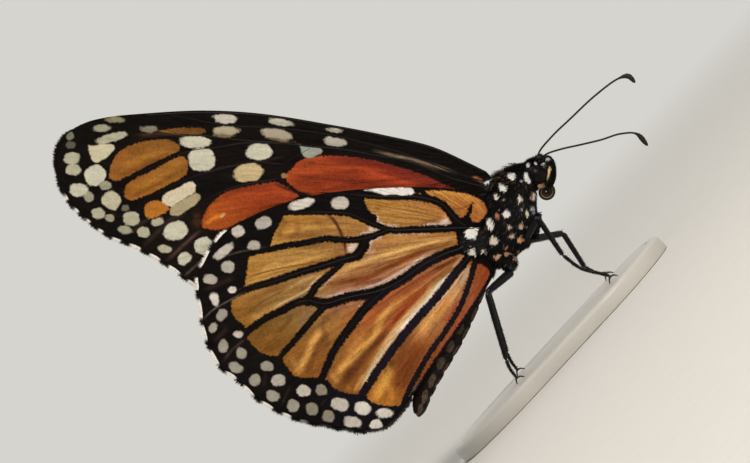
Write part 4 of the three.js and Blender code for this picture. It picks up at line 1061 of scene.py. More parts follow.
def vein_piece(name, wing, side, material):
    """Every vein of a wing as a thin round bar that tapers outwards."""
    parts = []
    for _, _, root_radius, end_radius, *line in wing["veins"]:
        flat = smooth_line(line, 7 * len(line))
        x, z = to_model(wing, flat)
        y = side * (closed_gap(x, z) + wing["outside"])
        radii = np.linspace(root_radius, end_radius, len(flat))
        parts.append(tube(np.column_stack([x, y, z]), radii, sides=8))
    return make_piece(name, *joined(parts), material)


def margin_line(wing):
    """The outer margin from the wing's tip to its rear corner, in the plane, with its outward way."""
    grid = flat_wing(wing).reshape(WING_STEPS["span"] + 1, -1, 2)
    outline = np.concatenate([grid[-wing["fringe_rows"] : -1, 0], grid[-1], grid[-2::-1, -1]])
    outline = outline[outline[:, 0] > wing["fringe_to"]]
    along = unit(np.gradient(outline, axis=0))
    return outline, np.column_stack([-along[:, 1], along[:, 0]])


def fringe_piece(name, wing, side, material):
    """Hair scales along the outer margin: white between two vein ends, black at each end."""
    outline, out = margin_line(wing)
    x, z = to_model(wing, outline)
    tip_x, tip_z = to_model(wing, outline + out)
    ways = np.column_stack([tip_x - x, np.zeros(len(x)), tip_z - z])
    ways *= 0.12 + 0.88 * ease(np.arange(len(x)), 0, FRINGE_GROWS_OVER)[:, None]
    line = np.column_stack([x, side * (closed_gap(x, z) + wing["outside"] + MEMBRANE), z])
    white = ease(from_teeth(wing, outline), 0.5, 0.7)
    white = white * ease(wing["white_fringe"] - outline[:, 1], -0.3, 0.3)
    white *= 0.12 + 0.88 * ease(outline[:, 0] - wing["white_from"], -2.0, 2.0)
    tone = linear(srgb("#0d0a09") + white[:, None] * (srgb("#f6f1ea") - srgb("#0d0a09")))
    sizes = {**FRINGE, "Seed": 3 if side > 0 else 4}
    return blades_along(name, [line], [ways], [tone], sizes, material)


# ---------------- blades along a path
def blade_tree():
    """Geometry Nodes: flat pointed blades set at even steps along edges, each leaning its own way.

    The edges carry two attributes: the way that a blade points, whose length shortens the blade,
    and its colour.
    """
    tree = bpy.data.node_groups.new("blades along a path", "GeometryNodeTree")
    sockets = [
        ("Path", "Geometry"), ("Spacing", "Float"), ("Length", "Float"), ("Thickness", "Float"),
        ("Splay", "Float"), ("Seed", "Int"), ("Finish", "Material"),
    ]
    for name, kind in sockets:
        tree.interface.new_socket(name, in_out="INPUT", socket_type="NodeSocket" + kind)
    tree.interface.new_socket("Blades", in_out="OUTPUT", socket_type="NodeSocketGeometry")
    given = add(tree, "NodeGroupInput").node.outputs

    curve = add(tree, "GeometryNodeMeshToCurve", {0: given["Path"]})
    step = {"Curve": curve, "Length": given["Spacing"]}
    points = add(tree, "GeometryNodeResampleCurve", step, mode="LENGTH")
    cone = {
        "Vertices": 5, "Side Segments": 2, "Radius Top": 0.0, "Depth": given["Length"],
        "Radius Bottom": given["Thickness"],
    }
    blade = add(tree, "GeometryNodeMeshCone", cone)
    sway = {0: (-1.0, -1.0, -1.0), 1: (1.0, 1.0, 1.0), "Seed": given["Seed"]}
    sway = add(tree, "FunctionNodeRandomValue", sway, data_type="FLOAT_VECTOR")
    sway = add(tree, "ShaderNodeVectorMath", {0: sway, "Scale": given["Splay"]}, operation="SCALE")
    way = add(tree, "GeometryNodeInputNamedAttribute", {"Name": "way"}, data_type="FLOAT_VECTOR")
    full = add(tree, "ShaderNodeVectorMath", {0: way}, out=1, operation="LENGTH")
    way = add(tree, "ShaderNodeVectorMath", {0: way, 1: sway}, operation="ADD")
    turn = add(tree, "FunctionNodeAlignRotationToVector", {"Vector": way}, axis="Z")
    size = {2: 0.7, 3: 1.15, "Seed": given["Seed"]}
    size = add(tree, "FunctionNodeRandomValue", size, out=1, data_type="FLOAT")
    size = add(tree, "ShaderNodeMath", {0: size, 1: full}, operation="MULTIPLY")
    placed = {"Points": points, "Instance": blade, "Rotation": turn, "Scale": size}
    placed = add(tree, "GeometryNodeInstanceOnPoints", placed)
    real = add(tree, "GeometryNodeRealizeInstances", {"Geometry": placed})
    dressed = add(tree, "GeometryNodeSetMaterial", {"Geometry": real, "Material": given["Finish"]})
    tree.links.new(dressed, tree.nodes.new("NodeGroupOutput").inputs[0])
    return tree


BLADES = blade_tree()


def blades_along(name, lines, ways, tones, sizes, material):
    """Runs the blade tree on some lines, and keeps the result as a plain mesh."""
    mesh = bpy.data.meshes.new(name)
    edges, count = [], 0
    for line in lines:
        edges += [(count + i, count + i + 1) for i in range(len(line) - 1)]
        count += len(line)
    mesh.from_pydata((np.vstack(lines) * MM).tolist(), edges, [])
    for key, values in (("way", ways), ("mark", tones)):
        flat = np.vstack(values).astype(np.float32).ravel()
        mesh.attributes.new(key, "FLOAT_VECTOR", "POINT").data.foreach_set("vector", flat)
    path = new_object(name, mesh)
    modifier = path.modifiers.new("blades", "NODES")
    modifier.node_group = BLADES
    lengths = {"Spacing", "Length", "Thickness"}
    for item in BLADES.interface.items_tree:
        if item.in_out == "INPUT" and item.name in sizes:
            value = sizes[item.name]
            modifier[item.identifier] = value * MM if item.name in lengths else value
        if item.in_out == "INPUT" and item.name == "Finish":
            modifier[item.identifier] = material
    made = final_mesh(path)
    path.modifiers.clear()
    path.data = made
    bpy.data.meshes.remove(mesh)
    return path


# ---------------- body
# Stations along the thorax and abdomen: x, z, half height, half width.
THORAX = [
    (1.2, 14.6, 1.1, 1.0), (2.2, 14.9, 2.7, 1.9), (4.0, 15.6, 3.8, 2.5), (6.2, 16.2, 4.4, 2.8),
    (8.4, 16.3, 3.98, 2.75), (10.2, 16.95, 2.8, 2.3), (11.3, 17.3, 2.2, 1.8), (12.1, 17.5, 1.65, 1.3),
    (12.8, 17.6, 0.95, 0.8),
]
ABDOMEN = [
    (2.4, 14.4, 1.2, 1.1), (1.4, 14.2, 1.6, 1.45), (-0.5, 13.75, 1.85, 1.7), (-4, 12.5, 1.9, 1.75),
    (-8, 11.2, 1.8, 1.7), (-11.5, 10.2, 1.55, 1.5), (-14.2, 9.25, 1.3, 1.25), (-16, 8.4, 1.05, 0.95),
    (-16.8, 8.0, 0.65, 0.55),
]
HEAD = {"at": (12.95, 0, 16.6), "radii": (1.75, 1.55, 1.95)}
EYE = {"at": (12.77, 1.15, 16.55), "radii": (0.96, 0.82, 1.17)}
FACE = {"at": (13.75, 0, 16.75), "radii": (1.4, 0.95, 1.35)}
HIPS = [  # centre and radii, on the left
    {"at": (3.3, 1.3, 12.5), "radii": (0.8, 0.75, 1.15)},
    {"at": (6.3, 1.25, 12.75), "radii": (0.85, 0.75, 0.8)},
]
COAT_DEPTH = {"thorax": 0.38, "head": 0.26, "abdomen": 0.12}
SEGMENTS = np.array([-0.4, -2.6, -4.9, -7.2, -9.4, -11.5, -13.4, -15.0])  # the abdomen's rings, at x
GROOVE = {"deep": 0.09, "half": 0.3, "lean": 0.25}  # between two rings, leaning back as it rises

# Pale marks on the side of the body, and two painted highlights: x, z, length, width, turn from the wing's
# line, colour.
MARKS_AND_GLINTS = [
    (10.6, 18.5, 0.92, 0.78, 0, "#fffdf4"), (9.04, 18.42, 1, 0.78, -30, "#fffefa"),
    (7.83, 18.27, 0.62, 0.8, 10, "#fff0da"), (9.36, 16.24, 0.5, 0.92, -12, "#fff2e2"),
    (10.58, 15.42, 0.48, 1, -5, "#ffe2cc"), (7.13, 16.16, 0.94, 0.94, 30, "#fffaf6"),
    (6.23, 16.75, 0.5, 0.65, 0, "#c47a60"), (5.03, 16.75, 0.74, 1.45, 12, "#fffaf5"),
    (2.9, 17.58, 1.3, 1.42, 0, "#fffdf4"), (3.9, 15.19, 1.15, 1.05, 10, "#fff0d8"),
    (5.7, 14.02, 0.66, 0.6, 0, "#ffe0c4"), (6.02, 12.97, 0.6, 0.56, 0, "#e0a474"),
    (1.3, 15.95, 0.8, 0.95, 0, "#f6efe6"), (2.83, 13.6, 0.8, 0.56, 0, "#ffc898"),
    (3.64, 12.91, 0.56, 0.46, 0, "#b8855f"), (4.22, 13.67, 0.46, 0.38, 0, "#d89878"),
    (7.28, 14.04, 0.52, 0.66, 0, "#ffdcc0"), (7.56, 13.42, 0.38, 0.5, 0, "#efe9e2"),
    (6.25, 14.99, 0.52, 0.52, 0, "#ffe8d4"), (8.68, 14.5, 0.38, 0.95, 0, "#fff4d2"),
    # The blue-white one at x 9.22, by the middle leg's knee, is a painted highlight.
    (9.5, 14.56, 0.5, 0.5, 0, "#ffffff"), (9.22, 14.16, 0.4, 0.4, 0, "#9cb4dc"),
    (10.98, 17.43, 0.46, 0.2, 0, "#fcf8f6"), (8.09, 17.45, 0.26, 0.26, 0, "#ffffff"),
    (8.92, 19.6, 0.24, 0.24, 0, "#fffdf8"), (9.9, 18.43, 0.24, 0.2, 0, "#d8d2c8"),
    # The narrow one at x 8.35, on the tegula, is a painted highlight.
    (8.35, 20.2, 0.52, 0.18, 36, "#eceaf0"), (2.22, 14.95, 0.6, 0.75, 0, "#fff0e4"),
    (3.98, 12.1, 0.56, 0.8, 0, "#d8a494"), (4.95, 12.2, 0.4, 0.3, 0, "#d09058"),
    (6.97, 17.01, 0.26, 0.26, 0, "#c9aca2"), (8.65, 15.33, 0.22, 0.22, 0, "#a8acb4"),
    (12.93, 18, 0.56, 0.56, 0, "#ffffff"), (11.78, 17.25, 0.8, 1.3, 8, "#ffffff"),
    (13.61, 17.57, 0.34, 0.34, 0, "#ffffff"), (14.15, 16.83, 0.6, 0.36, 10, "#f0eeee"),
    (14.01, 17.92, 0.7, 0.34, 30, "#e8e8e4"), (14.98, 17, 0.42, 0.56, 20, "#d0dae4"),
    (13.3, 18.39, 0.55, 0.28, 30, "#c4c4c0"), (12.17, 15.3, 0.85, 0.95, 0, "#ffd0a0"),
]
BLACK_HAIR = "#0a0808"
HAIR_GLINTS = ["#5a5650", "#4c525c", "#6a5a34", "#5a3c2c"]  # painted glints on black hair: grey, steel, gold and rust
HAIR_GLINT_SHARE = 0.045


def loft(stations, inset):
    """A long rounded body through its stations, drawn in by the coat's depth."""
    rings, sides = 90, 64
    run = smooth_line(stations, rings)
    angle = np.linspace(0, 2 * math.pi, sides, endpoint=False)
    x, z, high, wide = (run[:, k : k + 1] for k in range(4))
    y = np.sin(angle) * np.maximum(wide - inset, 0.2)
    up = z + np.cos(angle) * np.maximum(high - inset, 0.2)
    verts = np.stack([np.broadcast_to(x, y.shape), y, up], axis=-1).reshape(-1, 3)
    return verts, outward(verts, ring_faces(rings, sides) + flat_ends(rings, sides))


def ellipsoid(at, radii, inset=0.0, wide=64, high=40):
    """A closed egg shape with its poles on the z axis."""
    up = np.linspace(-math.pi / 2, math.pi / 2, high + 1)[1:-1]
    angle = np.linspace(0, 2 * math.pi, wide, endpoint=False)
    x, y = np.outer(np.cos(up), np.cos(angle)), np.outer(np.cos(up), np.sin(angle))
    ring = np.stack([x, y, np.outer(np.sin(up), np.ones(wide))], axis=-1).reshape(-1, 3)
    verts = np.vstack([ring, [[0, 0, -1], [0, 0, 1]]]) * (np.array(radii) - inset) + np.array(at)
    return verts, outward(verts, ring_faces(high - 1, wide) + pointed_ends(high - 1, wide))


def one_skin():
    """Thorax, abdomen and head grown together, as the points and faces of one closed skin."""
    parts = [
        loft(THORAX, COAT_DEPTH["thorax"]),
        loft(ABDOMEN, COAT_DEPTH["abdomen"]),
        ellipsoid(HEAD["at"], HEAD["radii"], COAT_DEPTH["head"]),
        ellipsoid(FACE["at"], FACE["radii"], COAT_DEPTH["head"]),
    ]
    for side in SIDES.values():
        parts += [ellipsoid(np.array(hip["at"]) * [1, side, 1], hip["radii"]) for hip in HIPS]
    verts, faces = joined(parts)
    mesh = bpy.data.meshes.new("skin draft")
    mesh.from_pydata(verts.tolist(), [], faces)
    draft = new_object("skin draft", mesh)
    remesh = draft.modifiers.new("one skin", "REMESH")
    remesh.mode = "VOXEL"
    remesh.voxel_size = 0.13
    ease_out = draft.modifiers.new("ease", "SMOOTH")
    ease_out.factor = 0.5
    ease_out.iterations = 8
    made = final_mesh(draft)
    skin = np.empty(len(made.vertices) * 3, np.float32)
    made.vertices.foreach_get("co", skin)
    faces = [tuple(face.vertices) for face in made.polygons]
    bpy.data.objects.remove(draft)
    bpy.data.meshes.remove(mesh)
    bpy.data.meshes.remove(made)
    return skin.reshape(-1, 3).astype(float), faces


def point_normals(verts, faces):
    """The outward way at each point of a mesh of four-sided faces."""
    corners = np.array(faces)
    a, b, c, d = (verts[corners[:, k]] for k in range(4))
    face_normals = np.cross(c - a, d - b)
    normals = np.zeros_like(verts)
    for k in range(4):
        np.add.at(normals, corners[:, k], face_normals)
    return unit(normals)


def pinch_segments(verts, normals):
    """Presses a shallow groove round the abdomen between each two of its rings."""
    groove = np.zeros(len(verts))
    for x in SEGMENTS:
        off = verts[:, 0] - x + (verts[:, 2] - 11) * GROOVE["lean"]
        groove = np.maximum(groove, np.exp(-((off / GROOVE["half"]) ** 2)))
    behind = ease(-verts[:, 0], -1.4, -0.2)
    return verts - normals * (GROOVE["deep"] * groove * behind)[:, None]


def body_colours(points, normals, jitter=0.0):
    """The body's markings: pale marks and two painted highlights on black, the same on the skin and on each
    tuft's root.
    """
    colour = np.tile(srgb(BLACK_HAIR), (len(points), 1))
    side = points[:, [0, 2]]
    if jitter:
        side = side + rng.normal(0, 1, side.shape) * jitter
    abdomen = ease(-points[:, 0], -1.2, 0.2)[:, None]
    colour = colour * (1 - abdomen) + srgb("#1d1512") * abdomen
    for x, z, length, width, turn, shade in MARKS_AND_GLINTS:
        depth = in_spot(side, x, z, length, width, turn - LEAN, power=2.2)
        colour[(depth > 0) & (np.abs(normals[:, 1]) > 0.2)] = srgb(shade)
    return colour


def is_pale(shade):
    """Whether sRGB colours are those of the pale marks and painted highlights, not of the black about them.
    """
    return shade.sum(axis=1) > 0.9


def abdomen_marks(points, colour):
    """Small pale spots along the abdomen's flank and below it, one pair to a ring."""
    axis = smooth_line(ABDOMEN, 60)
    middle = np.interp(-points[:, 0], -axis[:, 0], axis[:, 1])
    high = np.interp(-points[:, 0], -axis[:, 0], axis[:, 2])
    level = (points[:, 2] - middle) / high
    for x in SEGMENTS - 1.1:
        for at, wide, tall, shade in ((-0.3, 0.75, 0.3, "#5c4a3e"), (-0.85, 0.8, 0.14, "#5a4a42")):
            depth = 1 - ((points[:, 0] - x) / wide) ** 2 - ((level - at) / tall) ** 2
            colour[(depth > 0) & (points[:, 0] < 0.4)] = srgb(shade)
    return colour


def unwrap(points):
    """Places on an unwrap of the body: along it, and round it at an even rate."""
    middle = smooth_line(THORAX, 40)
    tail = smooth_line(ABDOMEN, 60)
    axis = np.vstack([middle[::-1], tail])[:, :2]
    axis = axis[np.argsort(axis[:, 0])]
    centre = np.interp(points[:, 0], axis[:, 0], axis[:, 1])
    around = np.arctan2(points[:, 1], points[:, 2] - centre) / (2 * math.pi) + 0.5
    rear, length = -17.5, 33.0  # the body's, with a little to spare
    along = (points[:, 0] - rear) / length
    return np.column_stack([0.02 + 0.96 * along, 0.02 + 0.96 * around])


# ---------------- coat
# How many tufts there are, in each layer or patch.
THORAX_LAYERS = {  # count, extra length, extra lift in degrees
    "under": (17000, 0, 0),
    "outer": (15500, 0.24, 8),
}
HEAD_COUNT, ABDOMEN_COUNT, PALP_COUNT, FORELEG_COUNT = 9000, 15000, 3200, 2200
WING_ROOT_HAIR = {  # wing, centre and spread in its plane, count
    "hindwing": (HINDWING, (0.95, -0.7), (1.2, 1.15), 4200),
    "forewing": (FOREWING, (0.1, 0.1), (0.3, 0.5), 700),
}


def sample_skin(verts, faces, count, wanted=lambda points: True):
    """Random places on the skin where wanted(points) allows, with the skin's normal at each."""
    tri = np.array([t for f in faces for t in ((f[0], f[i], f[i + 1]) for i in range(1, len(f) - 1))])
    a, b, c = (verts[tri[:, k]] for k in range(3))
    cross = np.cross(b - a, c - a)
    area = np.linalg.norm(cross, axis=1) * wanted((a + b + c) / 3)
    pick = rng.choice(len(tri), count, p=area / area.sum())
    u, v = rng.random(count), rng.random(count)
    fold = u + v > 1
    u[fold], v[fold] = 1 - u[fold], 1 - v[fold]
    points = a[pick] + (b - a)[pick] * u[:, None] + (c - a)[pick] * v[:, None]
    return points, unit(cross[pick])


def tufts(name, roots, normals, flow, length, width, lift, shade, finishes):
    """Thin three-sided tufts that rise from the skin by their lift and bend back along it.

    Each has its own small patch on the unwrap, at its root's place. Pale ones are flat, like scales.
    """
    count = len(roots)
    colours = linear(shade)
    pale = colours.sum(axis=1) > 0.75
    along = unit(flow - normals * np.sum(flow * normals, axis=1)[:, None])
    across = np.cross(normals, along)
    rise, rest = np.sin(lift)[:, None], np.cos(lift)[:, None]
    tip_rise, tip_rest = np.sin(lift * 0.45)[:, None], np.cos(lift * 0.45)[:, None]
    middle = roots + length[:, None] * 0.5 * (along * rest + normals * rise)
    tip = middle + length[:, None] * 0.5 * (along * tip_rest + normals * tip_rise)
    sink = roots - normals * 0.05
    half = width[:, None] / 2
    thin = normals * rest - along * rise
    ridge = np.where(pale, 0.1, 0.45)[:, None]
    ring = [(-1.0, -0.2), (1.0, -0.2), (0.0, ridge)]
    points = np.empty((count, 7, 3))
    for k, (side, up) in enumerate(ring):
        points[:, k] = sink + across * half * side + thin * half * up
        points[:, k + 3] = middle + across * half * 0.85 * side + thin * half * 0.7 * up
    points[:, 6] = tip
    pattern = [(0, 2, 1), (0, 1, 4, 3), (1, 2, 5, 4), (2, 0, 3, 5), (3, 4, 6), (4, 5, 6), (5, 3, 6)]
    starts = (np.arange(count) * 7).tolist()
    faces = [tuple(i + start for i in face) for start in starts for face in pattern]
    verts = points.reshape(-1, 3)
    marks = {"mark": np.repeat(colours, 7, axis=0)}
    piece = make_piece(name, verts, faces, finishes["hair"], marks, smooth=False)
    piece.data.materials.append(finishes["pale_hair"])
    piece.data.polygons.foreach_set("material_index", np.repeat(pale, len(pattern)).astype(np.int32))
    patch = 0.003
    local = np.array([(0.2, 0), (0.8, 0), (0.5, 0.1), (0.2, 0.5), (0.8, 0.5), (0.5, 0.6), (0.5, 1.0)]) - 0.5
    places = unwrap(roots)[:, None] + local[None] * patch
    corners = np.concatenate([np.array(face) for face in pattern])
    uv = places[:, corners].reshape(-1, 2).astype(np.float32)
    piece.data.uv_layers.new(name="OFBake").data.foreach_set("uv", uv.ravel())
    on_frame(piece, "cuticle")


def thorax_flow(points):
    """Hair on the thorax lies backwards, and down its sides."""
    flow = np.tile([-1.0, 0.0, -0.25], (len(points), 1))
    flow[:, 2] -= 0.35 * ease(18.5 - points[:, 2], 0, 4)
    return flow


def build_body(finishes):
    """The one skin of thorax, abdomen and head, and the coat on it."""
    verts, faces = one_skin()
    verts = pinch_segments(verts, point_normals(verts, faces))
    colours = abdomen_marks(verts, body_colours(verts, point_normals(verts, faces)))
    skin = make_piece("body_skin", verts, faces, finishes["skin"], {"mark": linear(colours)})
    on_frame(skin, "cuticle", "thorax", "abdomen", "head")
    for layer in THORAX_LAYERS:
        thorax_hair(verts, faces, layer, finishes)
    for name, side in SIDES.items():
        for kind, patch in WING_ROOT_HAIR.items():
            wing_root_hair(f"{kind}_root_hair_{name}", side, *patch, finishes)
    head_hair(verts, faces, HEAD_COUNT, finishes)
    abdomen_scales(verts, faces, ABDOMEN_COUNT, finishes)


def thorax_hair(verts, faces, layer, finishes):
    """Long loose hair, with raised bristles over the back in the outer layer."""
    count, longer, higher = THORAX_LAYERS[layer]
    roots, ways = sample_skin(verts, faces, count, lambda p: (p[:, 0] >= 1.0) & (p[:, 0] <= 12.0))
    flow = thorax_flow(roots) + rng.normal(0, 0.3, roots.shape)
    shade = body_colours(roots + 0.3 * unit(flow), ways, 0.05)
    pale = is_pale(shade)
    top = ease(ways[:, 2], 0.35, 0.9) * ease(roots[:, 0], 5.0, 9.0)
    length = rng.uniform(0.42, 0.75, count) + longer + 0.25 * top
    length = np.where(pale, rng.uniform(0.5, 0.7, count), length)
    width = np.where(pale, 0.16, 0.09) * rng.uniform(0.7, 1.3, count)
    lift = np.radians(rng.uniform(12, 30, count) + higher + 36 * top)
    lift = np.where(pale, np.radians(rng.uniform(20, 32, count)), lift)
    bristle = (layer == "outer") & ~pale & (top > 0.3) & (rng.random(count) < 0.16)
    length[bristle] += rng.uniform(0.15, 0.5, bristle.sum())
    width[bristle] *= 2.2
    lift[bristle] = np.radians(rng.uniform(60, 85, bristle.sum()))
    shade = speckled(shade, pale)
    shade[bristle] = srgb("#4a3a28") * rng.uniform(0.4, 1.3, (bristle.sum(), 1))
    tufts(f"thorax_hair_{layer}", roots, ways, flow, length, width, lift, shade, finishes)


def head_hair(verts, faces, count, finishes):
    """Short hair, raised on the crown and combed forwards and up on the face."""
    roots, ways = sample_skin(verts, faces, count, lambda p: (p[:, 0] > 11.75) & ~in_eye(p, 1.02))
    crown = ease(ways[:, 2], 0.3, 0.9)
    face = ease(roots[:, 0], 13.6, 14.4)
    flow = np.tile([-0.6, 0.0, -0.5], (count, 1)) + rng.normal(0, 0.25, roots.shape)
    flow += face[:, None] * np.array([0.9, 0, 0.9])
    shade = body_colours(roots + 0.13 * unit(flow), ways, 0.03)
    pale = is_pale(shade)
    length = rng.uniform(0.22, 0.42, count) + 0.35 * crown + 0.14 * face
    length = np.where(pale, rng.uniform(0.22, 0.32, count), length)
    width = np.where(pale, 0.12, 0.065) * rng.uniform(0.8, 1.2, count)
    lift = np.radians(rng.uniform(18, 36, count) + 30 * crown + 12 * face)
    lift = np.where(pale, np.radians(rng.uniform(24, 38, count)), lift)
    tufts("head_hair", roots, ways, flow, length, width, lift, speckled(shade, pale), finishes)


def abdomen_scales(verts, faces, count, finishes):
    """Short flat scales that lie close, backwards along the rings."""
    roots, ways = sample_skin(verts, faces, count, lambda p: p[:, 0] < 1.0)
    shade = abdomen_marks(roots, body_colours(roots, ways))
    flow = np.tile([-1.0, 0.0, -0.3], (count, 1)) + rng.normal(0, 0.12, roots.shape)
    length = rng.uniform(0.28, 0.42, count)
    width = 0.13 * rng.uniform(0.8, 1.2, count)
    lift = np.radians(rng.uniform(5, 13, count))
    shade = shade * rng.uniform(0.75, 1.25, (count, 1))
    tufts("abdomen_scales", roots, ways, flow, length, width, lift, shade, finishes)


def wing_root_hair(name, side, wing, centre, spread, count, finishes):
    """Thorax hair that grows on over the root of a wing, outside the membrane."""
    offset = rng.normal(0, 1, (count, 2))
    flat = offset[np.hypot(*offset.T) < 1.25] * spread + centre
    count = len(flat)
    x, z = to_model(wing, flat)
    middle = closed_gap(x, z) + wing["outside"] + wing_relief(wing, flat)
    roots = np.column_stack([x, side * (middle + MEMBRANE / 2), z])
    ways = np.tile([0.0, side, 0.0], (count, 1))
    flow = np.tile([-1.0, 0.0, 0.1], (count, 1)) + rng.normal(0, 0.35, roots.shape)
    shade = body_colours(roots + 0.25 * unit(flow), ways, 0.05)
    pale = is_pale(shade)
    length = rng.uniform(0.45, 0.8, count)
    width = np.where(pale, 0.14, 0.1) * rng.uniform(0.7, 1.3, count)
    lift = np.radians(rng.uniform(8, 26, count))
    tufts(name, roots, ways, flow, length, width, lift, speckled(shade, pale), finishes)


def speckled(shade, pale):
    """Breaks the colour from tuft to tuft: dark ones vary a little, and a few are painted glints."""
    vary = rng.uniform(0.5, 1.4, (len(shade), 1))
    bright = rng.uniform(0.93, 1.03, (len(shade), 1))
    shade = np.where(pale[:, None], shade * bright, shade * vary)
    # A few dark tufts get a painted glint.
    fleck = np.flatnonzero(~pale & (rng.random(len(shade)) < HAIR_GLINT_SHARE))
    shade[fleck] = np.array([srgb(tone) for tone in HAIR_GLINTS])[rng.integers(0, len(HAIR_GLINTS), len(fleck))]
    return np.clip(shade, 0, 1)


def in_eye(points, swell):
    """Whether points lie inside either eye, grown a little."""
    folded = np.abs(points * [0, 1, 0]) + points * [1, 0, 1]
    offset = (folded - np.array(EYE["at"])) / np.array(EYE["radii"])
    return np.sum((offset / swell) ** 2, axis=1) < 1


# ---------------- head parts
def build_eyes(finishes):
    for name, side in SIDES.items():
        at = np.array(EYE["at"]) * [1, side, 1]
        verts, faces = ellipsoid(at, EYE["radii"], 0.0, 72, 48)
        piece = make_piece(f"eye_{name}_facets", verts, faces, finishes["eye"])
        on_frame(piece, "eye", f"eye_{name}")


def build_palps(finishes):
    """Upturned palps before the face: black scaled, with a cream stripe beside the eye."""
    for name, side in SIDES.items():
        y = side * 0.72
        bent = [(12.25, y, 14.9), (13.1, y, 14.95), (13.95, y, 15.5), (14.6, y, 16.2), (15, y * 0.8, 17.05)]
        line = smooth_line(bent, 40)
        t = np.linspace(0, 1, 40)
        radii = (0.5 - 0.16 * t**1.5) * np.sqrt(np.clip(1 - ((t - 0.5) * 2) ** 8, 0.05, 1))
        verts, faces = tube(line, radii, sides=20)
        shade = palp_colours(verts, line, side)
        piece = make_piece(f"palp_{name}_core", verts, faces, finishes["skin"], {"mark": linear(shade)})
        on_frame(piece, "cuticle", f"palp_{name}")
        roots, ways = sample_skin(verts, faces, PALP_COUNT)
        shade = palp_colours(roots, line, side)
        pale = is_pale(shade)
        flow = np.tile([0.35, 0.0, 1.0], (PALP_COUNT, 1)) + rng.normal(0, 0.22, roots.shape)
        front = ease(ways[:, 0], 0.1, 0.8)
        length = np.where(pale, 0.2, rng.uniform(0.2, 0.34, PALP_COUNT) + 0.24 * front)
        width = np.where(pale, 0.09, 0.065)
        lift = np.radians(np.where(pale, 10, rng.uniform(12, 30, PALP_COUNT) + 24 * front))
        shade = speckled(shade, pale)
        tufts(f"palp_{name}_hair", roots, ways, flow, length, width, lift, shade, finishes)


def palp_colours(points, line, side):
    """Black, with a cream stripe beside the eye that runs out to a point, and a tan base."""
    _, place = along_line(points, line)
    at = np.linspace(0, 1, len(line))
    centre = np.column_stack([np.interp(place, at, line[:, k]) for k in range(3)])
    ahead = unit(np.gradient(line, axis=0))
    ahead = np.column_stack([np.interp(place, at, ahead[:, k]) for k in range(3)])
    out = unit(points - centre)
    towards_eye = out[:, 2] * ahead[:, 0] - out[:, 0] * ahead[:, 2]
    middle = 0.87 - 0.75 * ease(place, 0.3, 0.74)
    stripe = (out[:, 1] * side > 0.2) & (place > 0.22) & (place < 0.7)
    stripe &= np.abs(towards_eye - middle) < 0.5 * (1 - ease(place, 0.5, 0.78))
    colour = np.tile(srgb(BLACK_HAIR), (len(points), 1))
    colour[stripe] = srgb("#fad69c")
    base = in_spot(points[:, [0, 2]], 12.17, 15.3, 0.85, 0.95, -LEAN) > 0
    colour[base] = srgb("#ffd0a0")
    tip = (out[:, 1] * side > 0.3) & (place > 0.87) & (place < 0.97)
    colour[tip] = srgb("#b4bcc6")
    return colour


def build_proboscis(finishes):
    """The drinking tube: two half tubes side by side, finely ringed, coiled like a spring."""
    steps, turns, sides = 240, 2.7, 12
    t = np.linspace(0, 1, steps)
    angle = math.radians(12) - t * turns * 2 * math.pi
    r = 0.9 - 0.87 * t
    centre = np.array([12.1, 0, 14.46])
    coil = centre + np.column_stack([r * np.cos(angle), np.zeros(steps), r * np.sin(angle)])
    lead_in = np.linspace((12.66, 0, 15.4), coil[0], 14)[:-1]
    middle = np.vstack([lead_in, coil])
    radii = np.concatenate([np.full(len(lead_in), 0.22), 0.22 - 0.06 * t])
    radii = radii * (1 + 0.06 * np.sin(np.arange(len(middle)) * 1.9))
    verts, faces = joined([tube(middle + [0, side * 0.1, 0], radii, sides) for side in (-1, 1)])
    reach = np.linalg.norm((verts - centre)[:, [0, 2]], axis=1)
    ring = np.linalg.norm((middle - centre)[:, [0, 2]], axis=1)
    ring = np.concatenate([np.repeat(ring, sides), ring[[0, -1]]])
    inner = ease(np.tile(ring, 2) - reach, 0.03, 0.12)[:, None] * 0.85
    inner *= 1 - 0.6 * ease(0.6 - reach, 0, 0.35)[:, None]
    colour = srgb("#0d0a0a") * (1 - inner) + srgb("#a8825c") * inner
    piece = make_piece("proboscis_coil", verts, faces, finishes["proboscis"], {"mark": linear(colour)})
    on_frame(piece, "cuticle", "proboscis")


ANTENNAE = {
    "right": [
        (14.3, -0.55, 17.7), (14.8, -0.65, 18.15), (17.2, -1.4, 18.35), (20.05, -2.3, 18.2),
        (23.8, -3.2, 17.95), (27.0, -4.0, 17.35), (28.0, -4.2, 16.7), (28.0, -4.3, 15.6),
    ],
    "left": [
        (14.4, 0.55, 17.5), (15.3, 0.9, 17.4), (17.0, 2.0, 16.5), (18.7, 3.2, 15.35),
        (21.05, 4.9, 13.8), (23.3, 6.7, 12.5), (24.6, 7.8, 11.1), (24.5, 8.2, 9.2),
    ],
}
ANTENNA_RINGS = 42
CLUB_FROM, CLUB_FULL, CLUB_END = 0.85, 0.93, 0.0705  # shares of a feeler's length


def build_antennae(finishes):
    """Slender clubbed feelers of many short rings, on a round socket."""
    for name, points in ANTENNAE.items():
        steps = ANTENNA_RINGS * 8
        line = smooth_line(points, steps + 1)
        t = np.linspace(0, 1, steps + 1)
        radii = 0.118 + 0.2 * ease(t, CLUB_FROM, CLUB_FULL)
        rounded = np.sqrt(np.clip(1 - ((t - CLUB_FULL) / CLUB_END) ** 2, 0.02, 1))
        radii *= np.where(t > CLUB_FULL, rounded, 1)
        radii *= 0.88 + 0.12 * np.abs(np.sin(t * ANTENNA_RINGS * math.pi)) ** 0.5
        shaft = tube(line, radii, sides=14)
        socket = smooth_line(points[:2], 9)[:5]
        base = tube(socket, [0.24, 0.29, 0.28, 0.26, 0.18], sides=16)
        piece = make_piece(f"antenna_{name}_rings", *joined([shaft, base]), finishes["antenna"])
        on_frame(piece, "cuticle", f"antenna_{name}")


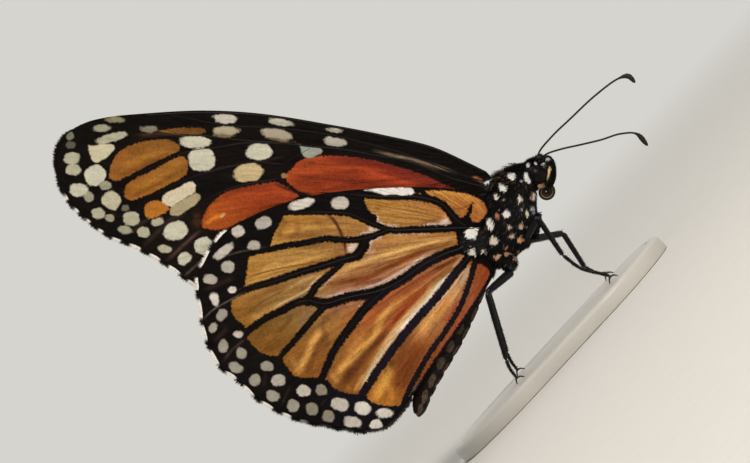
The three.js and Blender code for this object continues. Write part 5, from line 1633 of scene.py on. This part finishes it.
# ---------------- legs
LEGS = {  # the joints of hip, thigh and shank, then the foot's bend and sole
    "hindleg_right": [
        (3.6, -1, 13), (2.6, -1.9, 11.15), (-1.1, -4.5, 11.7), (-5.25, -5, 4.85), (-5.7, -5.1, 3.8),
        (-5.9, -5.15, 2.6),
    ],
    "midleg_right": [
        (6.2, -1.2, 12.9), (6.2, -1.5, 12.5), (9.15, -3.2, 13.3), (7.95, -3.6, 8.25), (8.25, -3.8, 5.7),
        (9.25, -4, 3.8), (9.9, -4.1, 2.6),
    ],
    "midleg_left": [
        (6.2, 1.2, 12.9), (6.2, 1.5, 12.5), (10.1, 5.5, 9.6), (8.95, 6.4, 5), (9.5, 6.6, 3.4),
        (10.2, 6.8, 2.6),
    ],
    "hindleg_left": [
        (3.6, 1, 13), (2.6, 1.9, 11.15), (-0.8, 4.9, 11.4), (-4.6, 5.7, 4.85), (-5, 5.9, 3.8),
        (-5.2, 6, 2.6),
    ],
}
TOES = {"hindleg": (-0.5, 0.7), "midleg": (-0.7, 0.6)}  # how far the claws reach back and forwards
# Radii of a leg's segments at their root and end.
LEG_SPAN = {"coxa": (0.6, 0.46), "femur": (0.47, 0.34), "tibia": (0.32, 0.25), "tarsus": (0.22, 0.16)}


def limb(points, root, end, bulge=0.0, steps=24, rings=0):
    """A leg segment: a bar, swollen in the middle, that narrows and rounds off at its joints."""
    line = route(points, steps + 1)
    t = np.linspace(0, 1, steps + 1)
    radii = (root + (end - root) * t) * (1 + bulge * np.sin(math.pi * t))
    if rings:
        radii *= 0.82 + 0.18 * np.abs(np.sin(t * rings * math.pi)) ** 0.6
    cap = np.sqrt(np.clip(1 - (1 - np.minimum(t, 1 - t) / 0.05) ** 2, 0.3, 1))
    radii *= np.where(np.minimum(t, 1 - t) < 0.05, cap, 1)
    return tube(line, radii, sides=14)


def claw(sole, reach):
    """One curved claw from the foot's last joint down to the floor."""
    x, y, z = sole
    tip = FLOOR + 0.06
    line = smooth_line([(x, y, z), (x + reach * 0.5, y, z - 0.12), (x + reach, y, tip)], 12)
    return tube(line, np.linspace(0.12, 0.055, 12), sides=8)


def leg_colours(verts, segments):
    """Black legs, paler round each joint, with a painted blue-grey sheen along the thigh."""
    colour = np.tile(srgb("#060505"), (len(verts), 1))
    near, place = along_line(verts, np.array(segments[1]))
    # Painted sheen: a blue-grey highlight along the thigh, strongest at its middle.
    painted_sheen = (near < 0.5)[:, None] * 0.35 * np.sin(math.pi * place)[:, None]
    colour = colour * (1 - painted_sheen) + srgb("#1c1d29") * painted_sheen
    for segment in segments[1:]:
        joint = np.array(segment[-1])
        pale = np.exp(-((np.linalg.norm(verts - joint, axis=1) / 0.3) ** 2))[:, None] * 0.45
        colour = colour * (1 - pale) + srgb("#8a7f74") * pale
    return colour


def build_legs(finishes):
    """The four walking legs, with their claws and spines."""
    for name, joints in LEGS.items():
        segments = [joints[:2], joints[1:3], joints[2:4], joints[3:]]
        coxa, femur, tibia, tarsus = segments
        parts = [
            limb(coxa, *LEG_SPAN["coxa"], bulge=0.1),
            limb(femur, *LEG_SPAN["femur"], bulge=0.12, steps=36),
            limb(tibia, *LEG_SPAN["tibia"], bulge=0.08, steps=48),
            limb(tarsus, *LEG_SPAN["tarsus"], steps=60, rings=5),
        ]
        parts += [claw(tarsus[-1], reach) for reach in TOES[name.split("_")[0]]]
        verts, faces = joined(parts)
        marks = {"mark": linear(leg_colours(verts, segments))}
        on_frame(make_piece(f"{name}_limb", verts, faces, finishes["leg"], marks), "cuticle", name)
        on_frame(leg_spines(f"{name}_spines", femur, tibia, tarsus, finishes["spine"]), "cuticle")


def build_forelegs(finishes):
    """The small front legs, folded against the chest and brushy with hair."""
    for name, side in SIDES.items():
        hip, knee, foot = (9.3, side * 0.75, 13.9), (7.4, side * 0.75, 11.95), (9.7, side * 1.2, 13.5)
        verts, faces = joined([limb([hip, knee], 0.36, 0.28, 0.1), limb([knee, foot], 0.26, 0.18, 0.1)])
        marks = {"mark": np.tile(linear("#161211"), (len(verts), 1))}
        piece = make_piece(f"foreleg_{name}_limb", verts, faces, finishes["leg"], marks)
        on_frame(piece, "cuticle", f"foreleg_{name}")
        roots, ways = sample_skin(verts, faces, FORELEG_COUNT)
        flow = np.tile([-0.3, 0.0, -1.0], (FORELEG_COUNT, 1)) + rng.normal(0, 0.3, roots.shape)
        shade = body_colours(roots + 0.2 * unit(flow), ways, 0.05)
        pale = is_pale(shade)
        length = rng.uniform(0.35, 0.6, FORELEG_COUNT)
        width = np.where(pale, 0.14, 0.09)
        lift = np.radians(rng.uniform(10, 30, FORELEG_COUNT))
        shade = speckled(shade, pale)
        tufts(f"foreleg_{name}_hair", roots, ways, flow, length, width, lift, shade, finishes)


def leg_spines(name, femur, tibia, tarsus, material):
    """Short spines in rows along the shank and foot, pointing down the leg, and fine thigh hair."""
    lines, ways, tones = [], [], []
    for segment, radius, rows in ((femur, 0.36, 5), (tibia, 0.25, 6), (tarsus, 0.16, 4)):
        line = route(segment, 40)
        ahead = unit(np.gradient(line, axis=0))
        first = unit(np.cross(ahead, [0.0, 1.0, 0.1]))
        second = np.cross(ahead, first)
        for k in range(rows):
            angle = 2 * math.pi * (k + 0.3) / rows
            out = first * math.cos(angle) + second * math.sin(angle)
            lines.append(line[2:-2] + out[2:-2] * radius)
            ways.append((ahead + out * 0.55)[2:-2])
            tones.append(np.tile(linear("#16110f"), (len(line) - 4, 1)))
    sizes = {"Spacing": 0.3, "Length": 0.34, "Thickness": 0.035, "Splay": 0.25, "Seed": 7}
    return blades_along(name, lines, ways, tones, sizes, material)


# ---------------- base
def build_base(finish):
    """A flat oval display base with a softened top edge and a fine line cut round its rim."""
    half_length, half_width, thick = np.array(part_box("stand_base")[1]) / MM
    straight = half_length - half_width
    angle = np.linspace(0, 2 * math.pi, 160, endpoint=False)
    profile = [  # inset from the rim, height
        (0.35, 0.0), (0.1, 0.08), (0.0, 0.3), (0.0, thick - 0.55), (0.07, thick - 0.3), (0.25, thick - 0.1),
        (0.5, thick - 0.02), (0.8, thick), (1.25, thick), (1.32, thick - 0.12), (1.42, thick - 0.12),
        (1.49, thick), (1.9, thick),
    ]
    rings = []
    for inset, z in profile:
        r = half_width - inset
        x = r * np.cos(angle) + straight * np.sign(np.cos(angle))
        rings.append(np.column_stack([x, r * np.sin(angle), np.full(len(angle), z)]))
    verts = np.vstack(rings)
    faces = ring_faces(len(profile), len(angle)) + flat_ends(len(profile), len(angle))
    piece = make_piece("stand_base_plate", verts, outward(verts, faces), finish)
    piece.data.set_sharp_from_angle(angle=math.radians(35))
    on_frame(piece, "stand", "stand_base")


# ---------------- studio
def build_stage(finish):
    """A pale paper sweep: the floor, curving up behind."""
    front, back, radius, height, half = -900.0, 500.0, 150.0, 900.0, 1100.0
    turns = np.linspace(0, math.pi / 2, 20)
    bend = [(back + radius * math.sin(a), radius - radius * math.cos(a)) for a in turns]
    profile = [(front, 0.0), *bend, (back + radius, height)]
    verts = [(x, y, z) for y, z in profile for x in (-half, half)]
    faces = [(2 * i, 2 * i + 1, 2 * i + 3, 2 * i + 2) for i in range(len(profile) - 1)]
    sweep = make_piece("studio_sweep", verts, faces, finish)


# The camera faces the right side, rolled so that the closed wings lie level in its view.
TARGET = Vector((-4.69, 0.0, 25.81)) * MM
DISTANCE = 450 * MM
RIGHT = Vector((math.cos(RAISE), 0, -math.sin(RAISE)))
UP = Vector((math.sin(RAISE), 0, math.cos(RAISE)))
AHEAD = Vector((0, 1, 0))


def build_camera():
    data = bpy.data.cameras.new("camera")
    data.sensor_width = 36
    data.lens = 187.27
    data.clip_start = 0.01
    data.clip_end = 10
    camera = new_object("camera", data)
    turn = Matrix((RIGHT, UP, -AHEAD)).transposed().to_4x4()
    camera.matrix_world = Matrix.Translation(TARGET - AHEAD * DISTANCE) @ turn
    bpy.context.scene.camera = camera


def area_lamp(name, towards, distance, size, power, colour="#ffffff"):
    """A soft square lamp that shines on the butterfly from a way off."""
    data = bpy.data.lights.new(name, "AREA")
    data.size = size
    data.energy = power
    data.color = linear(colour)
    way = Vector(towards).normalized()
    turn = way.to_track_quat("Z", "Y").to_matrix().to_4x4()
    new_object(name, data).matrix_world = Matrix.Translation(TARGET + way * distance) @ turn


def build_light():
    area_lamp("key", UP * 0.75 - RIGHT * 0.2 - AHEAD * 0.75, 0.6, 0.22, 2.35, "#fff6ea")
    area_lamp("fill", RIGHT * 0.7 - AHEAD * 0.8, 0.7, 0.5, 0.6, "#f2f5ff")
    area_lamp("top", Vector((0.1, 0.35, 1.0)), 0.7, 0.5, 1.0)
    world = bpy.data.worlds.new("studio air")
    world.use_nodes = True
    background = world.node_tree.nodes["Background"]
    background.inputs["Color"].default_value = rgba("#f4f5f7")
    background.inputs["Strength"].default_value = 0.36
    bpy.context.scene.world = world


# ---------------- the whole scene
def build_all():
    bpy.context.scene.view_settings.view_transform = "Standard"
    build_camera()
    build_light()
    build_stage(paper_finish())
    finishes = {
        "scales": wing_scale_finish(),
        "vein": cuticle_finish("wing vein cuticle", "#050404", "#1c1614", 0.4, 3.0, 0.15),
        "fringe": marked_finish("fringe scales", 0.6, 6.0, 0.3),  # soft matt hairs
        "skin": marked_finish("body cuticle under scales", 0.55, 5.0, 0.6),  # dull and grainy
        "hair": marked_finish("fine body hair", 0.5, 9.0, 0.3),  # a fine silky shine
        "pale_hair": pale_hair_finish(),
        "eye": eye_finish(),
        "proboscis": marked_finish("proboscis cuticle", 0.35, 4.0, 0.5, 0.3),  # smooth horn
        "antenna": cuticle_finish("antenna cuticle", "#17120f", "#3a3029", 0.45, 4.0, 0.2),
        "leg": marked_finish("leg cuticle", 0.24, 4.0, 0.5, 0.25),  # hard, with long narrow shines
        "spine": marked_finish("leg spines", 0.4, 6.0, 0.3),  # stiff dark bristles
    }
    build_base(painted_base_finish())
    build_wing("forewing", FOREWING, finishes)
    build_wing("hindwing", HINDWING, finishes)
    build_body(finishes)
    build_eyes(finishes)
    build_palps(finishes)
    build_proboscis(finishes)
    build_antennae(finishes)
    build_legs(finishes)
    build_forelegs(finishes)


build_all()
